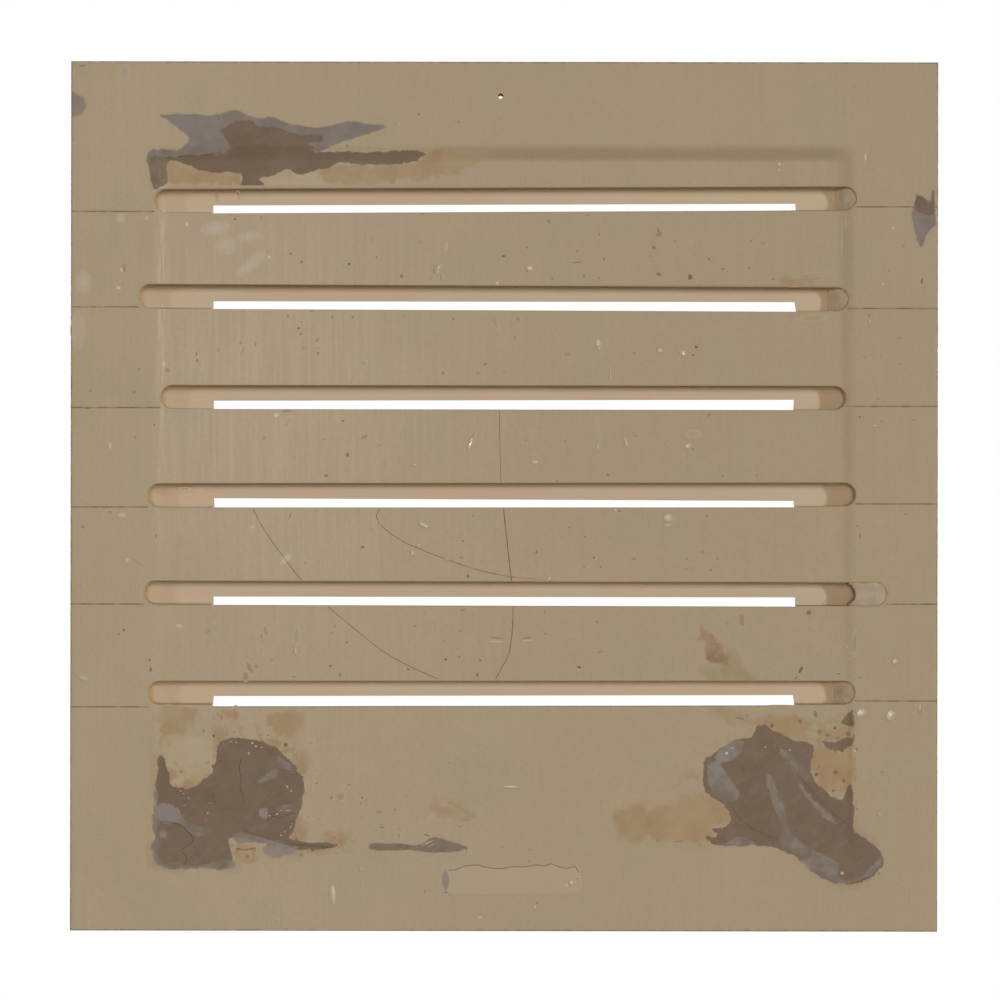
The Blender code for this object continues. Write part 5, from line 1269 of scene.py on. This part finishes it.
# hair lines: cover, and the points each one passes
hairs = [
    (0.45, [(-2.5, 274.3), (-2.4, 264), (-2.1, 251), (-1.6, 236.6)]),
    (0.9, [(-0.3, 222.6), (0.3, 216.7), (1.5, 206.2), (2.8, 194.1), (3.7, 186.7), (3.9, 184.6)]),
    (0.75, [(4.9, 170.9), (4.7, 164), (4.4, 158.8), (3.9, 153.5), (2.9, 147.2), (1.2, 143), (-0.6, 139.8),
     (-2.5, 136.1), (-4.3, 133)]),
    (0.6, [(-92.8, 170.7), (-84.4, 163.8), (-75.9, 156.9), (-65.4, 148.5), (-54.9, 142.2), (-44.3, 137),
     (-34.8, 132.9)]),
    (0.65, [(-132.3, 222.2), (-129.7, 216.9), (-124.9, 209), (-120.7, 203), (-117, 198), (-111.7, 190.9),
     (-106.5, 184.6)]),
    (0.6, [(-65.4, 222.6), (-67.3, 218.7), (-65.4, 214.4), (-60.1, 209.7), (-55.4, 206.6), (-50.6, 203.9),
     (-44.3, 201.3), (-38, 198.7), (-31.7, 196.4), (-24.3, 193.7), (-16.9, 191.3), (-9.6, 189.3), (-2.2, 187.7),
     (4.1, 186.6)]),
    (0.25, [(4.1, 186.6), (13.6, 185.8), (21.5, 185.1)]),
    (0.7, [(-29.2, 32.3), (-25.4, 32.4), (-20.4, 34.3), (-13.4, 34.9), (-9.9, 33.8), (-2.2, 33), (4.8, 33.9),
     (11.9, 34), (16.8, 34.9), (21.7, 34.6), (25.2, 35.5), (29.4, 33.9), (33.6, 33.3), (37.5, 34.1),
     (39.4, 31.1)]),
    (0.8, [(-181.2, 57.8), (-175.6, 57), (-171.2, 56.1), (-167.5, 53.6), (-163.8, 49.2)]),
    (0.7, [(-138.4, 90.3), (-139.3, 85.6), (-138.4, 80.5), (-139, 76), (-137.5, 72.1), (-137.2, 67.6)]),
    (0.6, [(-163.8, 49.2), (-164.1, 46.5), (-167.5, 44.3), (-169.7, 42.1), (-167, 38.4), (-168.2, 35.1)]),
    (0.5, [(-136.9, 53.2), (-129.9, 50.5), (-122.5, 48), (-115.1, 45.8), (-109.2, 46.1)]),
    (0.8, [(-109.2, 45.5), (-103.3, 45), (-97.4, 44.4), (-90, 44.1)]),
    (0.7, [(-140.9, 43.4), (-136.5, 42.6), (-132.8, 43.4), (-130.2, 43.7)]),
    (0.4, [(-119.5, 85.4), (-115.1, 84.5), (-111, 84.2), (-107.7, 82.7)]),
    (0.5, [(-122.5, 60.6), (-118.1, 59.7), (-113.6, 61.5), (-110.4, 62.1)]),
    (0.25, [(144.2, 96.4), (149.5, 90.5), (155.8, 82.1), (163.2, 73.6), (172.7, 63.1), (184.3, 54.3)]),
    (0.2, [(117.9, 69.4), (124.2, 59.9), (132.7, 53.6), (145.3, 48.3)]),
    (0.8, [(-178.1, 407.3), (-172.8, 407.9), (-166.5, 408.6), (-157, 409), (-149.7, 410.1)]),
]
hairForm = {"radius": 0.30, "sink": 0.17, "steps": 5}


def makeHairs(material):
    # thin tubes that follow the board's surface, sunk more than half into the paint
    data = bpy.data.curves.new("hairCurves", "CURVE")
    data.dimensions = "3D"
    data.bevel_depth = hairForm["radius"] * mm
    data.bevel_resolution = 2
    data.use_fill_caps = True
    lines = [np.array(smoothLoop(points, closed=False, steps=hairForm["steps"])) for _, points in hairs]
    for line in lines:
        spline = data.splines.new("POLY")
        spline.points.add(len(line) - 1)
        depth = fieldDepth(line[:, 0], line[:, 1]) - fillerAt(line[:, 0], line[:, 1])[0] + hairForm["sink"]
        for point, (x, z), under in zip(spline.points, line, depth):
            point.co = (x * mm, frontY + under * mm, z * mm, 1)
    curve = linkObject("hairCurves", data)
    graph = bpy.context.evaluated_depsgraph_get()
    mesh = bpy.data.meshes.new_from_object(curve.evaluated_get(graph))
    bpy.data.objects.remove(curve)
    piece = linkObject("hairLines", mesh)
    mesh.materials.clear()
    mesh.materials.append(material)
    points = readPoints(piece)
    x, z = points[:, 0] / mm, points[:, 2] / mm
    away = np.array([np.hypot(x[:, None] - line[:, 0], z[:, None] - line[:, 1]).min(axis=1) for line in lines])
    boardValues(piece, x, z)
    keepValues(piece, {"cover": np.array([cover for cover, _ in hairs])[away.argmin(axis=0)],
                       **fillerAt(x, z)[1]})
    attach(piece, rideBody)


# camera, light, floor

view = {"distance": 2.2, "pixel": 0.52674 * mm, "photo": 1000, "sensor": 36.0,
        "middleX": 504.15, "middleY": 496.45, "roll": 0.085}


def makeCamera():
    data = bpy.data.cameras.new("photoView")
    data.sensor_width = view["sensor"]
    data.lens = view["distance"] / view["pixel"] * view["sensor"] / view["photo"]
    item = linkObject("photoView", data)
    half = view["photo"] / 2
    item.location = ((half - view["middleX"]) * view["pixel"], frontY - view["distance"],
                     boardHeight / 2 - (half - view["middleY"]) * view["pixel"])
    look = Matrix.Rotation(math.radians(-view["roll"]), 4, "Y") @ Matrix.Rotation(math.pi / 2, 4, "X")
    item.rotation_euler = look.to_euler()
    bpy.context.scene.camera = item


# suns: degrees to the right of the front, degrees up, strength, angle
lights = {"keyLow": (51.0, 3.0, 0.81, 3.0), "keyHigh": (50.0, 9.0, 0.80, 3.0), "front": (0.0, 9.0, 0.46, 5.0),
          "frontLow": (4.0, -1.0, 0.68, 8.0), "fill": (-53.0, 5.0, 0.52, 3.0),
          "behindRight": (148.0, 3.0, 1.30, 6.0), "behindLeft": (-142.0, 2.0, 1.20, 6.0)}
ambient = 0.19


def seenByEye(tree):
    path = addNode(tree, "LightPath")
    seen = sums(tree, "MAXIMUM", path["Is Camera Ray"], path["Is Glossy Ray"])
    return sums(tree, "MAXIMUM", seen, path["Is Transmission Ray"])


def makeLights():
    for name, (aside, up, strength, angle) in lights.items():
        data = bpy.data.lights.new(name, "SUN")
        data.energy = strength
        data.angle = math.radians(angle)
        aside, up = math.radians(aside), math.radians(up)
        towards = Vector((math.sin(aside) * math.cos(up), -math.cos(aside) * math.cos(up), math.sin(up)))
        linkObject(name, data).rotation_euler = towards.to_track_quat("Z", "Y").to_euler()
    world = bpy.data.worlds.new("studio")
    world.use_nodes = True
    tree = world.node_tree
    setInputs(tree, tree.nodes["Background"], {
        "Color": (1, 1, 1, 1), "Strength": between(tree, seenByEye(tree), 0.0, 1.0, ambient, 1.0)})
    bpy.context.scene.world = world


floor = {"drop": 0.9, "size": 5.0, "lift": 0.4, "paint": colour(236, 234, 230), "cloud": colour(230, 228, 224)}


def makeFloor():
    bm = bmesh.new()
    bmesh.ops.create_grid(bm, x_segments=1, y_segments=1, size=floor["size"] / 2)
    bmesh.ops.translate(bm, verts=bm.verts, vec=(0, 0, -floor["drop"]))
    material, tree, shader = startMaterial("floorPaint", {"Roughness": 0.8})
    cloud = between(tree, noiseOf(tree, placeIn(tree), 3, 3), 0.3, 0.7)
    tone = mixed(tree, cloud, floor["paint"], floor["cloud"])
    # the suns stand low for the board's sake, so the floor is lifted for the eye alone
    setInputs(tree, shader, {"Base Color": tone, "Emission Color": tone,
                             "Emission Strength": times(tree, seenByEye(tree), floor["lift"])})
    addObject("floor", bm, material)


# everything together

makeCamera()
makeLights()
makeFloor()
print("stage: camera, lights and floor")

facePaint = makePaint("facePaint", ())
patchPaint = makePaint("patchPaint", layerNames)
innerPaint = makeSlotPaint("innerPaint")
framePaint = makeWoodPaint("framePaint")
smears = {name: makeSmear(name) for name in smearLooks}
zinc = makeZinc("zincPlate")
markPaint = makeSpotPaint("markPaint")
hairPaint = makeHair("hairPaint")
print("stage: materials")

makeBoard(facePaint)
print("stage: board")
for name, facts in patchPieces.items():
    makePatch(name, facts, patchPaint)
print("stage: filler patches")
makeSlotCoats(innerPaint)
for name, facts in fillerLumps.items():
    makeLump(name, facts, smears[facts["paint"]])
print("stage: slots")
makeMarks(markPaint)
makeHairs(hairPaint)
print("stage: marks and hairs")

for name, node in nodes.items():
    if name.startswith(("left_", "right_", "top_", "bottom_", "louver_")):
        node.material_slots[0].material = framePaint
    if name.startswith("frame_screw"):
        node.material_slots[0].material = zinc

bpy.context.scene.view_settings.view_transform = "Standard"
print("stage: done")
